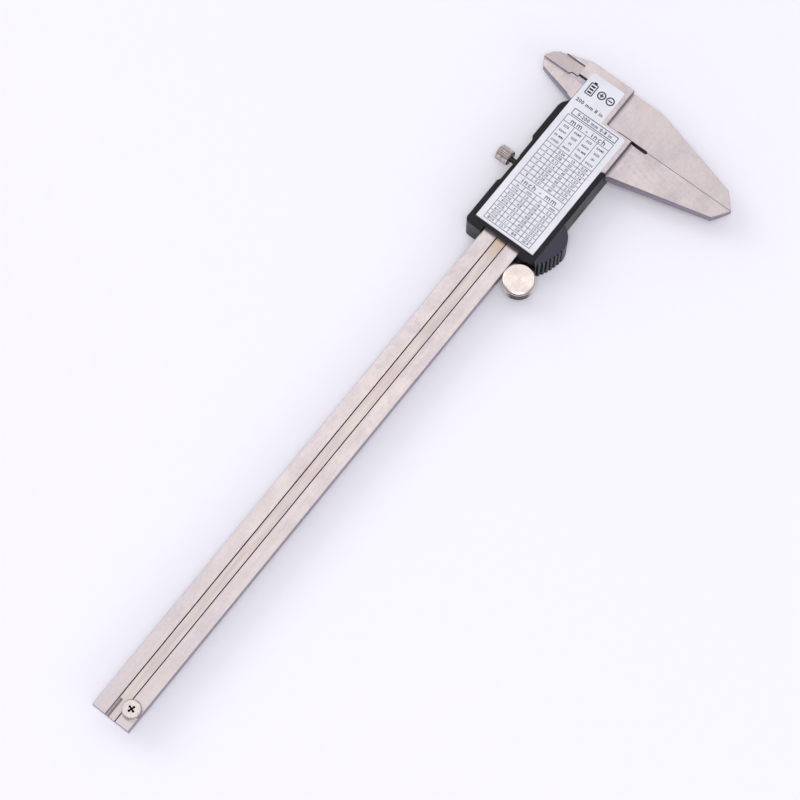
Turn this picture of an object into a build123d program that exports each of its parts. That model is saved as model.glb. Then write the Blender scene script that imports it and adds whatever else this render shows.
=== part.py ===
"""Electronic slide caliper, 0-200 mm, closed and lying on its display face.

Design frame, in millimetres: X = 0 is the closed outside measuring plane, with
the fixed jaws on +X and the beam's tail on -X. Y = 0 is the beam's centre line,
with the small inside jaws on +Y and the large outside jaws on -Y. Z = 0 is the
beam's back face and +Z points out of the back. Every sub-part is moved at the
end so that the origin is the bottom centre of the closed caliper.
"""
from build123d import *
import os
from math import cos, radians, sin

# Beam and outside jaws
BEAM_WIDTH = 15.4
BEAM_THICKNESS = 3.6
BEAM_TAIL_X = -275.8
JAW_DEPTH = 50.0
JAW_END_X = 15.8
FRONT_Z = -BEAM_THICKNESS
HALF_BEAM = BEAM_WIDTH / 2
JAW_TIP_Y = -HALF_BEAM - JAW_DEPTH
RELIEF_TOP_Y = -13.8
RELIEF_END_Y = -20.9
RELIEF_FACE = 0.1
FIXED_RELIEF_X = 0.32
MOVING_RELIEF_X = -0.87
JAW_GAP = 0.01
EDGE_THINNING = 1.3
THINNED_LENGTH = 20.0
EDGE_BEVEL = 0.55
EDGE_BREAK = 0.12

# Inside jaws
INNER_PLANE_X = 7.75
INNER_TIP_Y = 31.1
INNER_RELIEF_Y = 19.9
GROUND_STEP = 1.0

# Groove, depth rod, stop screw and scale
GROOVE_WIDTH = 4.55
GROOVE_DEPTH = 2.0
ROD_WIDTH = 3.65
ROD_TOP_Z = -0.1
ROD_BOTTOM_Z = -1.8
ROD_HEAD_X = -12.0
ROD_SCREW_XS = (ROD_HEAD_X - 3, ROD_HEAD_X - 9)
ROD_TIP_LENGTH = 7.5
ROD_TIP_CUT = 0.45
STOP_X = -269.3
STOP_Y = -4.2
STOP_HEAD_RADIUS = 3.42
STOP_HEAD_HEIGHT = 2.0
STOP_HEAD_EDGE = 0.4
STOP_RECESS = (1.45, 1.2, -17)
LOBE_SHARE = 0.31
PUNCH_MARK = (-272.3, -6.7)
SCALE_RECESS_DEPTH = 0.55
SCALE_WIDTH = 11.0
SCALE_END_X = -1.0
STATOR_THICKNESS = 0.4
FOIL_THICKNESS = 0.12

# Slider frame: a plate on the back of the beam with a rail along each edge
SLIDE_GAP = 0.04
PLATE_TOP_Z = 2.1
PLATE_EDGE_BREAK = 0.22
FRAME_REAR_X = -57.5
FRAME_SIDE_Y = 13.0
PLATE_EDGE_X = -0.55
PLATE_STEP_Y = -3.2
PLATE_END_X = 16.1
SHOULDER_Y = -14.1
SHOULDER_RADIUS = 1.3
JAW_ROOT_X = -16.5
RAIL_END_X = -2.2
RAIL_OUTER_Y = 12.7
GIB_THICKNESS = 0.75
GIB_PLAY = 0.05
RAIL_BOTTOM_Z = FRONT_Z - 0.05

# Housing
HOUSING_REAR_X = -61.1
HOUSING_END_X = -1.5
HOUSING_LOW_Y = -14.3
HOUSING_HIGH_Y = 15.0
GRIP_DIP = 0.7
FACE_Z = -10.5
PANEL_RECESS = 0.4
PANEL_THICKNESS = 0.25
FRONT_WALL = 1.2
SIDE_WALL = 1.4
RIM_NOTCH_X = -58.9
WALL_OUTER_Z = FACE_Z + PANEL_RECESS
WALL_INNER_Z = WALL_OUTER_Z + FRONT_WALL
FACE_EDGE = 0.6
RIM_EDGE = 0.3

# Thumb rest and its serrations
REST_CENTRE = (-47.1, 1.85)
REST_RADIUS = 21.5
REST_FIRST_ANGLE = -94.0
REST_TOOTH_ANGLE = 4.6
REST_TEETH = 7
TOOTH_DEPTH = 0.7
REST_FALL = 1.1

# Thumb roller
ROLLER_RADIUS = 5.8
ROLLER_X = -66.7
ROLLER_Y = -HALF_BEAM - ROLLER_RADIUS - 0.1
ROLLER_TOP_Z = 0.4
ROLLER_BOTTOM_Z = -6.0
ROLLER_GROOVE = (-0.5, -1.2)
ROLLER_GROOVE_DEPTH = 0.8
ROLLER_EDGE = (0.45, 0.2)
AXLE_RADIUS = 1.2
AXLE_CLEARANCE = 0.05
ARM_THICKNESS = 0.8
ARM_TOP_Z = ROLLER_BOTTOM_Z - 0.2
ARM_END = (-53.9, -4.2)
ARM_SCREW = (-55.6, -5.4)

# Lock screw
LOCK_X = -31.2
LOCK_Z = -1.8
LOCK_KNOB_RADIUS = 2.95
LOCK_KNOB_Y = (16.7, 22.2)
LOCK_STUD_RADIUS = 1.0
LOCK_SLACK = 0.3
KNURL_COUNT = 26

# Electronics
SENSOR_GAP = 0.2
BOARD_Z = (-5.6, -4.6)
BOARD_X = (-56.0, -18.5)
BOARD_Y = (-12.0, 12.5)
LCD_X = (-51.6, -22.6)
LCD_Y = (-2.0, 12.0)
LCD_Z = (-8.8, -7.0)
WINDOW_MARGIN = 1.2
BUTTON_Y = -8.0
BUTTON_XS = {"unit_button": -47.5, "power_button": -37.5, "zero_button": -27.5}
BUTTON_RADIUS = 3.2
BUTTON_CROWN_Z = FACE_Z + 0.1
BUTTON_TRAVEL = 0.5
CELL_X = -10.6
CELL_RADIUS = 5.8
CELL_Z = (-9.7, -4.3)
COVER_X = (-17.4, HOUSING_END_X)
COVER_HALF_WIDTH = 7.0
COVER_Z = (-10.4, -9.8)

# Screws: frame screws go through the plate and rails into the housing's bosses
FRAME_SCREW_XS = (-54.0, -20.0)
SIDE_SCREW_Y = 10.8
BOARD_SCREW_XS = (-54.3, -20.6)
BOARD_SCREW_Y = 2.0
STRIP_X = (-51.0, -23.0)
STRIP_Y = (6.9, 10.4)
STRIP_THICKNESS = 0.8
STRIP_SCREW_XS = (-44.0, -37.0, -26.0)
STRIP_SCREW_Y = 9.6
GIB_SCREW_XS = (-46.0, -14.0)
SCREW_RADIUS = 0.8
SCREW_FIT = 0.02
HEAD_RADIUS = 1.5

SHIFT = Pos(
    -(BEAM_TAIL_X + PLATE_END_X) / 2,
    -(JAW_TIP_Y + INNER_TIP_Y) / 2,
    -FACE_Z,
)


def block(x_range, y_range, z_range):
    """A box between two x, two y and two z values."""
    size = [abs(b - a) for a, b in (x_range, y_range, z_range)]
    middle = [(a + b) / 2 for a, b in (x_range, y_range, z_range)]
    return Pos(*middle) * Box(*size)


def prism(points, z_range):
    """A straight-sided outline in X and Y, raised from one z to another."""
    low, high = min(z_range), max(z_range)
    face = make_face(Polyline(*points, close=True))
    return Pos(0, 0, low) * extrude(face, amount=high - low)


def broken_edges(solid, size):
    """The solid with a small chamfer round its top face."""
    return chamfer(solid.faces().sort_by(Axis.Z)[-1].edges(), size)


def post(x, y, radius, z_range):
    """A cylinder along Z."""
    low, high = min(z_range), max(z_range)
    return Pos(x, y, (low + high) / 2) * Cylinder(radius, high - low)


def cross_post(x, z, radius, y_range):
    """A cylinder along Y."""
    low, high = min(y_range), max(y_range)
    return Pos(x, (low + high) / 2, z) * Rot(90, 0, 0) * Cylinder(radius, high - low)


def turned(profile, x, y):
    """A shape turned about a vertical axis, from (radius, z) points."""
    face = make_face(Polyline(*[(r, 0, z) for r, z in profile], close=True))
    return Pos(x, y, 0) * revolve(face, axis=Axis.Z)


def sheet_arm(start, end, width, z_range, end_radius=None):
    """A flat strip from one point to another, round at its start."""
    dx, dy = end[0] - start[0], end[1] - start[1]
    length = (dx * dx + dy * dy) ** 0.5
    nx, ny = -dy / length * width / 2, dx / length * width / 2
    corners = [
        (start[0] + nx, start[1] + ny),
        (start[0] - nx, start[1] - ny),
        (end[0] - nx, end[1] - ny),
        (end[0] + nx, end[1] + ny),
    ]
    radius = end_radius or width / 2
    return prism(corners, z_range) + post(*start, radius, z_range)


def cross_recess(x, y, top_z, arm, depth, angle):
    """The cutter for a crosshead recess: two bars at right angles with round ends wider than the bars."""
    lobe = arm * LOBE_SHARE
    cutter = post(x, y, lobe, (top_z - depth, top_z))
    for turn in (angle, angle + 90):
        bar = Rot(0, 0, turn) * Box(2 * (arm - lobe), lobe * 1.4, depth)
        cutter += Pos(x, y, top_z - depth / 2) * bar
        for side in (-1, 1):
            reach = side * (arm - lobe)
            end = (x + reach * cos(radians(turn)), y + reach * sin(radians(turn)))
            cutter += post(*end, lobe, (top_z - depth, top_z))
    return cutter


# ---------------------------------------------------------------- the beam

def fixed_outline():
    """The beam with its outside jaw below and its inside jaw above."""
    return [
        (BEAM_TAIL_X, -HALF_BEAM),
        (FIXED_RELIEF_X, -HALF_BEAM),
        (FIXED_RELIEF_X, RELIEF_END_Y + 0.6),
        (0, RELIEF_END_Y),
        (0, JAW_TIP_Y),
        (6.0, -52.3),
        (15.35, -17.8),
        (15.65, -16.6),
        (JAW_END_X, -15.2),
        (JAW_END_X, HALF_BEAM),
        (INNER_PLANE_X - 0.2, HALF_BEAM),
        (INNER_PLANE_X - 0.2, INNER_RELIEF_Y - 0.5),
        (INNER_PLANE_X, INNER_RELIEF_Y),
        (INNER_PLANE_X, INNER_TIP_Y),
        (4.7, 29.3),
        (-1.2, HALF_BEAM),
        (BEAM_TAIL_X, HALF_BEAM),
    ]


def thinning(side):
    """The wedge that thins an outside jaw's measuring edge on the display side.

    side is +1 on the fixed jaw and -1 on the moving jaw.
    """
    width = 4.5
    profile = [
        (-side, FRONT_Z - 1),
        (side * width, FRONT_Z - 1),
        (side * width, FRONT_Z),
        (0, FRONT_Z + EDGE_THINNING),
        (-side, FRONT_Z + EDGE_THINNING),
    ]
    face = make_face(Polyline(*[(x, 0, z) for x, z in profile], close=True))
    wedge = extrude(face, amount=THINNED_LENGTH + 1, dir=(0, -1, 0))
    return Pos(0, JAW_TIP_Y + THINNED_LENGTH, 0) * wedge


def inner_thinning():
    """The wedge that gives the fixed inside jaw its knife edge."""
    width = 4.0
    x = INNER_PLANE_X
    profile = [
        (x + 1, FRONT_Z - 1),
        (x - width, FRONT_Z - 1),
        (x - width, FRONT_Z),
        (x, FRONT_Z + 2.4),
        (x + 1, FRONT_Z + 2.4),
    ]
    face = make_face(Polyline(*[(a, 0, z) for a, z in profile], close=True))
    wedge = extrude(face, amount=INNER_TIP_Y - INNER_RELIEF_Y + 1, dir=(0, 1, 0))
    return Pos(0, INNER_RELIEF_Y, 0) * wedge


def edge_bevel(start, end, outward):
    """The wedge that bevels a back edge running from start to end.

    The bevel is full at start and runs out to nothing at end; outward is the
    direction, in X and Y, that points away from the steel.
    """
    ox, oy = outward
    cut = EDGE_BEVEL

    def corner(point, inset, z):
        return (point[0] - ox * inset, point[1] - oy * inset, z)

    near = [corner(start, cut, 0), corner(start, 0, -2 * cut), corner(start, -cut, cut)]
    far = [corner(end, 0.02, 0), corner(end, 0, -0.03), corner(end, -0.02, 0.03)]
    first = make_face(Polyline(*near, close=True))
    last = make_face(Polyline(*far, close=True))
    return loft([first, last], ruled=True)


def beam_and_fixed_jaws():
    beam = broken_edges(prism(fixed_outline(), (FRONT_Z, 0)), EDGE_BREAK)
    groove_y = (-GROOVE_WIDTH / 2, GROOVE_WIDTH / 2)
    beam -= block((BEAM_TAIL_X - 1, -6), groove_y, (-GROOVE_DEPTH, 1))
    recess_z = (FRONT_Z - 1, FRONT_Z + SCALE_RECESS_DEPTH)
    half = SCALE_WIDTH / 2 + 0.05
    beam -= block((BEAM_TAIL_X - 1, SCALE_END_X), (-half, half), recess_z)
    beam -= post(STOP_X, STOP_Y, SCREW_RADIUS + SCREW_FIT, (-2.5, 1))
    beam -= post(*PUNCH_MARK, 0.25, (-0.4, 1))
    beam -= thinning(1)
    beam -= inner_thinning()
    beam -= edge_bevel((0.97, 16.0), (4.7, 29.3), (-0.963, 0.268))
    return beam


def stator_strip():
    top = FRONT_Z + SCALE_RECESS_DEPTH
    half = SCALE_WIDTH / 2
    x_range = (BEAM_TAIL_X + 0.5, SCALE_END_X - 0.1)
    return block(x_range, (-half, half), (top - STATOR_THICKNESS, top))


def ruler_foil():
    top = FRONT_Z + SCALE_RECESS_DEPTH - STATOR_THICKNESS
    half = SCALE_WIDTH / 2
    x_range = (BEAM_TAIL_X + 0.5, SCALE_END_X - 0.1)
    return block(x_range, (-half, half), (top - FOIL_THICKNESS, top))


def stop_screw():
    crown = STOP_HEAD_HEIGHT
    profile = [
        (0, -2.4),
        (SCREW_RADIUS, -2.4),
        (SCREW_RADIUS, 0),
        (STOP_HEAD_RADIUS, 0),
        (STOP_HEAD_RADIUS, crown - STOP_HEAD_EDGE),
        (STOP_HEAD_RADIUS - STOP_HEAD_EDGE, crown),
        (0, crown),
    ]
    screw = turned(profile, STOP_X, STOP_Y)
    return screw - cross_recess(STOP_X, STOP_Y, crown, *STOP_RECESS)


# ------------------------------------------------------- the slider's steel

def plate_outline():
    """The slider's back plate and the moving inside jaw, seen from the back."""
    return [
        (FRAME_REAR_X, -12.6),
        (JAW_ROOT_X - 0.4, -12.6),
        (JAW_ROOT_X, SHOULDER_Y),
        (PLATE_EDGE_X, SHOULDER_Y),
        (PLATE_EDGE_X, PLATE_STEP_Y),
        (PLATE_END_X, PLATE_STEP_Y),
        (PLATE_END_X, 15.2),
        (15.75, 16.4),
        (13.5, 23.7),
        (12.5, 27.5),
        (11.2, 29.3),
        (8.6, INNER_TIP_Y - 0.1),
        (INNER_PLANE_X + JAW_GAP, INNER_TIP_Y),
        (INNER_PLANE_X + JAW_GAP, INNER_RELIEF_Y),
        (INNER_PLANE_X + 0.95, INNER_RELIEF_Y - 0.7),
        (INNER_PLANE_X + 0.95, 16.7),
        (INNER_PLANE_X + 1.5, 16.7),
        (INNER_PLANE_X + 1.5, FRAME_SIDE_Y),
        (FRAME_REAR_X, FRAME_SIDE_Y),
    ]


def moving_jaw_outline():
    """The lower rail and the moving outside jaw, at the beam's level."""
    return [
        (FRAME_REAR_X, -HALF_BEAM - SLIDE_GAP),
        (-RELIEF_FACE, -HALF_BEAM - SLIDE_GAP),
        (-RELIEF_FACE, RELIEF_TOP_Y),
        (MOVING_RELIEF_X, RELIEF_TOP_Y),
        (MOVING_RELIEF_X, RELIEF_END_Y + 0.6),
        (MOVING_RELIEF_X / 2, RELIEF_END_Y),
        (-JAW_GAP, RELIEF_END_Y),
        (-JAW_GAP, JAW_TIP_Y),
        (-6.2, -53.4),
        (JAW_ROOT_X, -15.0),
        (JAW_ROOT_X - 0.4, -12.6),
        (FRAME_REAR_X, -12.6),
    ]


def shoulder():
    """The concave step from the plate down to the moving outside jaw."""
    low_y = SHOULDER_Y - SHOULDER_RADIUS
    x_range = (JAW_ROOT_X, MOVING_RELIEF_X)
    length = MOVING_RELIEF_X - JAW_ROOT_X
    step = block(x_range, (low_y, SHOULDER_Y), (0, SHOULDER_RADIUS))
    scoop = Rot(0, 90, 0) * Cylinder(SHOULDER_RADIUS, length + 2)
    return step - Pos(JAW_ROOT_X + length / 2, low_y, SHOULDER_RADIUS) * scoop


def slider_frame():
    frame = broken_edges(prism(plate_outline(), (SLIDE_GAP, PLATE_TOP_Z)), PLATE_EDGE_BREAK)
    frame += broken_edges(prism(moving_jaw_outline(), (FRONT_Z, 0)), EDGE_BREAK)
    rail_x = (FRAME_REAR_X, JAW_ROOT_X - 0.4)
    frame += block(rail_x, (-12.6, -HALF_BEAM - SLIDE_GAP), (RAIL_BOTTOM_Z, SLIDE_GAP))
    root_x = (JAW_ROOT_X - 0.4, -RELIEF_FACE)
    frame += block(root_x, (RELIEF_TOP_Y, -HALF_BEAM - SLIDE_GAP), (FRONT_Z, SLIDE_GAP))
    upper_y = (HALF_BEAM + GIB_THICKNESS + 2 * GIB_PLAY, RAIL_OUTER_Y)
    frame += block((FRAME_REAR_X, RAIL_END_X), upper_y, (RAIL_BOTTOM_Z, SLIDE_GAP))
    frame += shoulder()
    ground = block((INNER_PLANE_X - 1, 13.2), (16.5, 40), (PLATE_TOP_Z - GROUND_STEP, 5))
    frame -= ground
    frame -= thinning(-1)
    frame -= edge_bevel((JAW_ROOT_X, -15.0), (-6.2, -53.4), (-0.966, -0.259))
    for x in FRAME_SCREW_XS:
        for y in (-SIDE_SCREW_Y, SIDE_SCREW_Y):
            frame -= post(x, y, SCREW_RADIUS + SCREW_FIT, (-6, 3))
            frame -= post(x, y, HEAD_RADIUS + SCREW_FIT, (1.1, 3))
    for x in STRIP_SCREW_XS:
        for y in (-STRIP_SCREW_Y, STRIP_SCREW_Y):
            frame -= post(x, y, SCREW_RADIUS + SCREW_FIT, (-6, -1.6))
    for x in GIB_SCREW_XS:
        frame -= cross_post(x, LOCK_Z, SCREW_RADIUS + SCREW_FIT, (HALF_BEAM, 14))
    frame -= cross_post(LOCK_X, LOCK_Z, LOCK_STUD_RADIUS + 0.05, (HALF_BEAM, 14))
    for x in ROD_SCREW_XS:
        frame -= post(x, 0, SCREW_RADIUS + SCREW_FIT, (-1, 3))
        frame -= post(x, 0, HEAD_RADIUS + SCREW_FIT, (1.2, 3))
    return frame


def back_label():
    """Foil label over the plate: a wide part and a narrow part past the jaw plane."""
    left, right, far_right = -57.2, -1.7, 12.9
    low, high, step = -12.3, 12.75, -1.35
    points = [
        (left, low + 0.7), (left + 0.7, low), (right - 1.1, low), (right, low + 1.1),
        (right, step - 0.5), (right + 0.5, step), (far_right - 0.9, step),
        (far_right, step + 0.9), (far_right, high - 1.4), (far_right - 1.4, high),
        (left + 1.0, high), (left, high - 1.0),
    ]
    return prism(points, (PLATE_TOP_Z, PLATE_TOP_Z + 0.12))


def gib_strip():
    low = HALF_BEAM + GIB_PLAY
    return block((FRAME_REAR_X + 1, RAIL_END_X - 1), (low, low + GIB_THICKNESS), (-3.4, -0.2))


def gib_screws():
    inner = HALF_BEAM + GIB_THICKNESS + GIB_PLAY
    screws = []
    for x in GIB_SCREW_XS:
        screw = cross_post(x, LOCK_Z, SCREW_RADIUS, (inner, RAIL_OUTER_Y - 0.3))
        slot = block((x - 1, x + 1), (RAIL_OUTER_Y - 0.8, RAIL_OUTER_Y), (LOCK_Z - 0.2, LOCK_Z + 0.2))
        screws.append(screw - slot)
    return Compound(children=screws)


def depth_rod():
    half = ROD_WIDTH / 2
    rod = block((BEAM_TAIL_X, ROD_HEAD_X), (-half, half), (ROD_BOTTOM_Z, ROD_TOP_Z))
    tip_x = (BEAM_TAIL_X - 1, BEAM_TAIL_X + ROD_TIP_LENGTH)
    rod -= block(tip_x, (half - ROD_TIP_CUT, half + 1), (-3, 1))
    bevel = [(half - ROD_TIP_CUT - 0.9, 1.0), (half + 1, 1.0), (half + 1, ROD_TOP_Z - 0.75),
             (half - ROD_TIP_CUT, ROD_TOP_Z - 0.6), (half - ROD_TIP_CUT - 0.9, ROD_TOP_Z)]
    face = make_face(Polyline(*[(BEAM_TAIL_X - 1, y, z) for y, z in bevel], close=True))
    rod -= extrude(face, amount=ROD_TIP_LENGTH + 1, dir=(1, 0, 0))
    for x in ROD_SCREW_XS:
        rod -= post(x, 0, SCREW_RADIUS + SCREW_FIT, (-3, 1))
    return rod


def flat_screw(x, y, top_z, length, head_radius=HEAD_RADIUS):
    """A small flat-headed screw with a crosshead recess, head upwards."""
    screw = post(x, y, head_radius, (top_z - 0.8, top_z))
    screw += post(x, y, SCREW_RADIUS, (top_z - length, top_z - 0.8))
    return screw - cross_recess(x, y, top_z, head_radius * 0.55, 0.5, 0)


def rod_screws():
    return Compound(children=[flat_screw(x, 0, 2.0, 3.6) for x in ROD_SCREW_XS])


def frame_screws():
    return Compound(children=[
        flat_screw(x, y, 1.9, 9.0)
        for x in FRAME_SCREW_XS for y in (-SIDE_SCREW_Y, SIDE_SCREW_Y)
    ])


def retaining_strips():
    """Two steel strips on the rails' display side that keep the slider on the beam."""
    z_range = (RAIL_BOTTOM_Z - STRIP_THICKNESS, RAIL_BOTTOM_Z)
    strips = []
    for side in (-1, 1):
        strip = block(STRIP_X, (side * STRIP_Y[0], side * STRIP_Y[1]), z_range)
        for x in STRIP_SCREW_XS:
            strip -= post(x, side * STRIP_SCREW_Y, SCREW_RADIUS + SCREW_FIT, (-6, 0))
        strips.append(strip)
    return Compound(children=strips)


def strip_screws():
    bottom = RAIL_BOTTOM_Z - STRIP_THICKNESS
    screws = []
    for x in STRIP_SCREW_XS:
        for side in (-1, 1):
            y = side * STRIP_SCREW_Y
            screws.append(post(x, y, SCREW_RADIUS, (bottom, -1.8)))
    return Compound(children=screws)


# ------------------------------------------------------------- the housing

def housing_outline():
    """The housing seen from the back, without the thumb rest."""
    high = HOUSING_HIGH_Y
    return [
        (HOUSING_REAR_X, HOUSING_LOW_Y),
        (HOUSING_END_X, HOUSING_LOW_Y),
        (HOUSING_END_X, high - 1.6),
        (-3.3, high - 0.2),
        (-5.1, high + 0.3),
        (-20.4, high + 0.3),
        (-22.0, high - GRIP_DIP + 0.1),
        (-29.4, high - GRIP_DIP + 0.1),
        (-29.8, high - GRIP_DIP - 0.1),
        (-40.8, high - GRIP_DIP),
        (-42.0, high),
        (HOUSING_REAR_X, high),
    ]


def on_rest(angle, inset=0.0):
    """A point on the thumb rest's rim, or inside it, at an angle in degrees."""
    reach = REST_RADIUS - inset
    return (
        REST_CENTRE[0] + reach * cos(radians(angle)),
        REST_CENTRE[1] + reach * sin(radians(angle)),
    )


def thumb_rest():
    """The lobe under the thumb, with a serrated rim."""
    first = on_rest(REST_FIRST_ANGLE)
    last_angle = REST_FIRST_ANGLE - REST_TEETH * REST_TOOTH_ANGLE
    middle = on_rest((REST_FIRST_ANGLE + last_angle) / 2)
    last = on_rest(last_angle)
    start = (-41.2, HOUSING_LOW_Y)
    root = (-58.0, HOUSING_LOW_Y + 3)
    face = make_face([
        ThreePointArc(start, (-43.2, -17.5), first),
        ThreePointArc(first, middle, last),
        Line(last, root),
        Line(root, (start[0], root[1])),
        Line((start[0], root[1]), start),
    ])
    return Pos(0, 0, FACE_Z) * extrude(face, amount=PLATE_TOP_Z - FACE_Z)


def rest_slope():
    """The cutter that makes the rest fall away from the rim, by REST_FALL at its far edge."""
    far_y = REST_CENTRE[1] - REST_RADIUS
    side = [
        (HOUSING_LOW_Y, PLATE_TOP_Z),
        (HOUSING_LOW_Y, PLATE_TOP_Z + 1),
        (far_y, PLATE_TOP_Z + 1),
        (far_y, PLATE_TOP_Z - REST_FALL),
    ]
    face = make_face(Polyline(*[(HOUSING_REAR_X, y, z) for y, z in side], close=True))
    return extrude(face, amount=-HOUSING_REAR_X, dir=(1, 0, 0))


def serrations():
    """The cutter for the rest's grooves, one between each pair of teeth."""
    cutter = None
    for tooth in range(REST_TEETH):
        angle = REST_FIRST_ANGLE - (tooth + 0.5) * REST_TOOTH_ANGLE
        notch = [
            on_rest(angle + REST_TOOTH_ANGLE * 0.32, -0.3),
            on_rest(angle + REST_TOOTH_ANGLE * 0.05, TOOTH_DEPTH),
            on_rest(angle - REST_TOOTH_ANGLE * 0.20, TOOTH_DEPTH * 0.85),
            on_rest(angle - REST_TOOTH_ANGLE * 0.38, -0.3),
        ]
        groove = prism(notch, (FACE_Z - 1, PLATE_TOP_Z + 1))
        cutter = groove if cutter is None else cutter + groove
    return cutter


def battery_well():
    """The cutter for the cell's well and the slot its cover slides in."""
    inner = COVER_HALF_WIDTH + 0.9
    well = post(CELL_X, 0, CELL_RADIUS + 0.1, (FACE_Z - 1, -4.1))
    opening_x = (COVER_X[0] - 0.1, HOUSING_END_X + 1)
    half = COVER_HALF_WIDTH + 0.1
    well += block(opening_x, (-half, half), (FACE_Z - 1, COVER_Z[1] + 0.05))
    well += block(opening_x, (-inner, inner), (COVER_Z[1] - 0.35, COVER_Z[1] + 0.05))
    well += block((CELL_X + CELL_RADIUS - 1, -4.4), (-1.6, 1.6), (-9.8, -4.1))
    well += block((-19.5, CELL_X), (-1.1, 1.1), (-4.4, -4.1))
    return well


def housing():
    outer = prism(housing_outline(), (FACE_Z, PLATE_TOP_Z))
    corner = outer.edges().filter_by(Axis.Z).group_by(Axis.X)[0].group_by(Axis.Y)[-1]
    shell = fillet(corner, 2.0) + thumb_rest()
    shell = chamfer(shell.faces().sort_by(Axis.Z)[0].edges(), FACE_EDGE)
    shell = broken_edges(shell, RIM_EDGE)
    shell -= rest_slope()
    shell -= serrations()
    # the pocket that the steel frame drops into, and the jaw's way out of it
    shell -= block((FRAME_REAR_X - 0.1, 5), (-12.7, FRAME_SIDE_Y + 0.1), (RAIL_BOTTOM_Z - 0.1, 5))
    jaw_gap = [
        (-17.4, -11), (-17.2, -12.9), (JAW_ROOT_X - 0.35, SHOULDER_Y - 2), (5, -20), (5, -11),
    ]
    shell -= prism(jaw_gap, (RAIL_BOTTOM_Z - 0.1, 5))
    # the beam's way through the rear wall
    beam_y = (-HALF_BEAM - 0.25, HALF_BEAM + 0.25)
    shell -= block((HOUSING_REAR_X - 1, FRAME_REAR_X), beam_y, (RAIL_BOTTOM_Z - 0.1, 0.12))
    shell -= block((HOUSING_REAR_X - 1, RIM_NOTCH_X), beam_y, (0, 5))
    # the electronics bay, with its bosses
    bay_z = (WALL_INNER_Z, RAIL_BOTTOM_Z)
    bay_y = (HOUSING_LOW_Y + SIDE_WALL, HOUSING_HIGH_Y - GRIP_DIP - SIDE_WALL)
    bay = block((HOUSING_REAR_X + SIDE_WALL, -18.2), bay_y, bay_z)
    for x in FRAME_SCREW_XS:
        for y in (-SIDE_SCREW_Y, SIDE_SCREW_Y):
            bay -= post(x, y, 2.2, (FACE_Z, RAIL_BOTTOM_Z - 0.1))
    for x in BOARD_SCREW_XS:
        bay -= post(x, BOARD_SCREW_Y, 1.4, (FACE_Z, BOARD_Z[0]))
    bay -= post(*ARM_SCREW, 1.6, (FACE_Z, ARM_TOP_Z - ARM_THICKNESS))
    shell -= bay
    # openings in the display face
    shell -= block((-59.4, -19.0), (-12.6, 13.3), (FACE_Z - 1, WALL_OUTER_Z))
    shell -= block(*window_box(0.05), (FACE_Z - 1, WALL_INNER_Z + 1))
    for x in BUTTON_XS.values():
        shell -= post(x, BUTTON_Y, BUTTON_RADIUS + 0.15, (FACE_Z - 1, WALL_INNER_Z + 1))
    shell -= battery_well()
    # the roller, its arm and the lock screw
    shell -= post(ROLLER_X, ROLLER_Y, ROLLER_RADIUS + 0.6, (FACE_Z - 1, 5))
    slot_z = (ARM_TOP_Z - ARM_THICKNESS - 0.1, ARM_TOP_Z + 0.1)
    shell -= sheet_arm((ROLLER_X, ROLLER_Y), ARM_END, 5.4, slot_z)
    shell -= cross_post(LOCK_X, LOCK_Z, LOCK_STUD_RADIUS + 0.6, (12, 16))
    for x in FRAME_SCREW_XS:
        for y in (-SIDE_SCREW_Y, SIDE_SCREW_Y):
            shell -= post(x, y, SCREW_RADIUS + SCREW_FIT, (-7.3, 0))
    for x in BOARD_SCREW_XS:
        shell -= post(x, BOARD_SCREW_Y, SCREW_RADIUS + SCREW_FIT, (-8.0, 0))
    shell -= post(*ARM_SCREW, SCREW_RADIUS + SCREW_FIT, (-8.8, 0))
    return shell


def window_box(margin):
    """The display window's x and y ranges, grown by a margin."""
    return (
        (LCD_X[0] + WINDOW_MARGIN - margin, LCD_X[1] - WINDOW_MARGIN + margin),
        (LCD_Y[0] + WINDOW_MARGIN - margin, LCD_Y[1] - WINDOW_MARGIN + margin),
    )


def front_panel():
    """The printed film on the display face, pierced for the window and buttons."""
    z_range = (WALL_OUTER_Z - PANEL_THICKNESS, WALL_OUTER_Z)
    panel = block((-59.3, -19.1), (-12.5, 13.2), z_range)
    panel = fillet(panel.edges().filter_by(Axis.Z), 0.8)
    panel -= block(*window_box(-1.0), (FACE_Z, WALL_OUTER_Z + 1))
    for x in BUTTON_XS.values():
        panel -= post(x, BUTTON_Y, BUTTON_RADIUS + 0.25, (FACE_Z, WALL_OUTER_Z + 1))
    return panel


def display_window():
    return block(*window_box(0.0), (WALL_OUTER_Z, WALL_INNER_Z))


# --------------------------------------------------------- the electronics

def lcd_glass():
    return block(LCD_X, LCD_Y, LCD_Z)


def contact_rubbers():
    """The two conductive rubber bars that join the display to the board."""
    bars = []
    for y in (LCD_Y[0] + 0.9, LCD_Y[1] - 0.9):
        bar_x = (LCD_X[0] + 1.5, LCD_X[1] - 1.5)
        bars.append(block(bar_x, (y - 0.7, y + 0.7), (LCD_Z[1], BOARD_Z[0])))
    return Compound(children=bars)


def circuit_board():
    board = block(BOARD_X, BOARD_Y, BOARD_Z)
    for x in FRAME_SCREW_XS:
        for y in (-SIDE_SCREW_Y, SIDE_SCREW_Y):
            board -= post(x, y, 2.8, (-9, 0))
    for x in BOARD_SCREW_XS:
        board -= post(x, BOARD_SCREW_Y, SCREW_RADIUS + SCREW_FIT, (-9, 0))
    return board - post(*ARM_SCREW, 1.8, (-9, 0))


def sensor_board():
    top = FRONT_Z - SENSOR_GAP
    return block((-50.0, -24.0), (-5.6, 5.6), (BOARD_Z[1], top))


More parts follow.
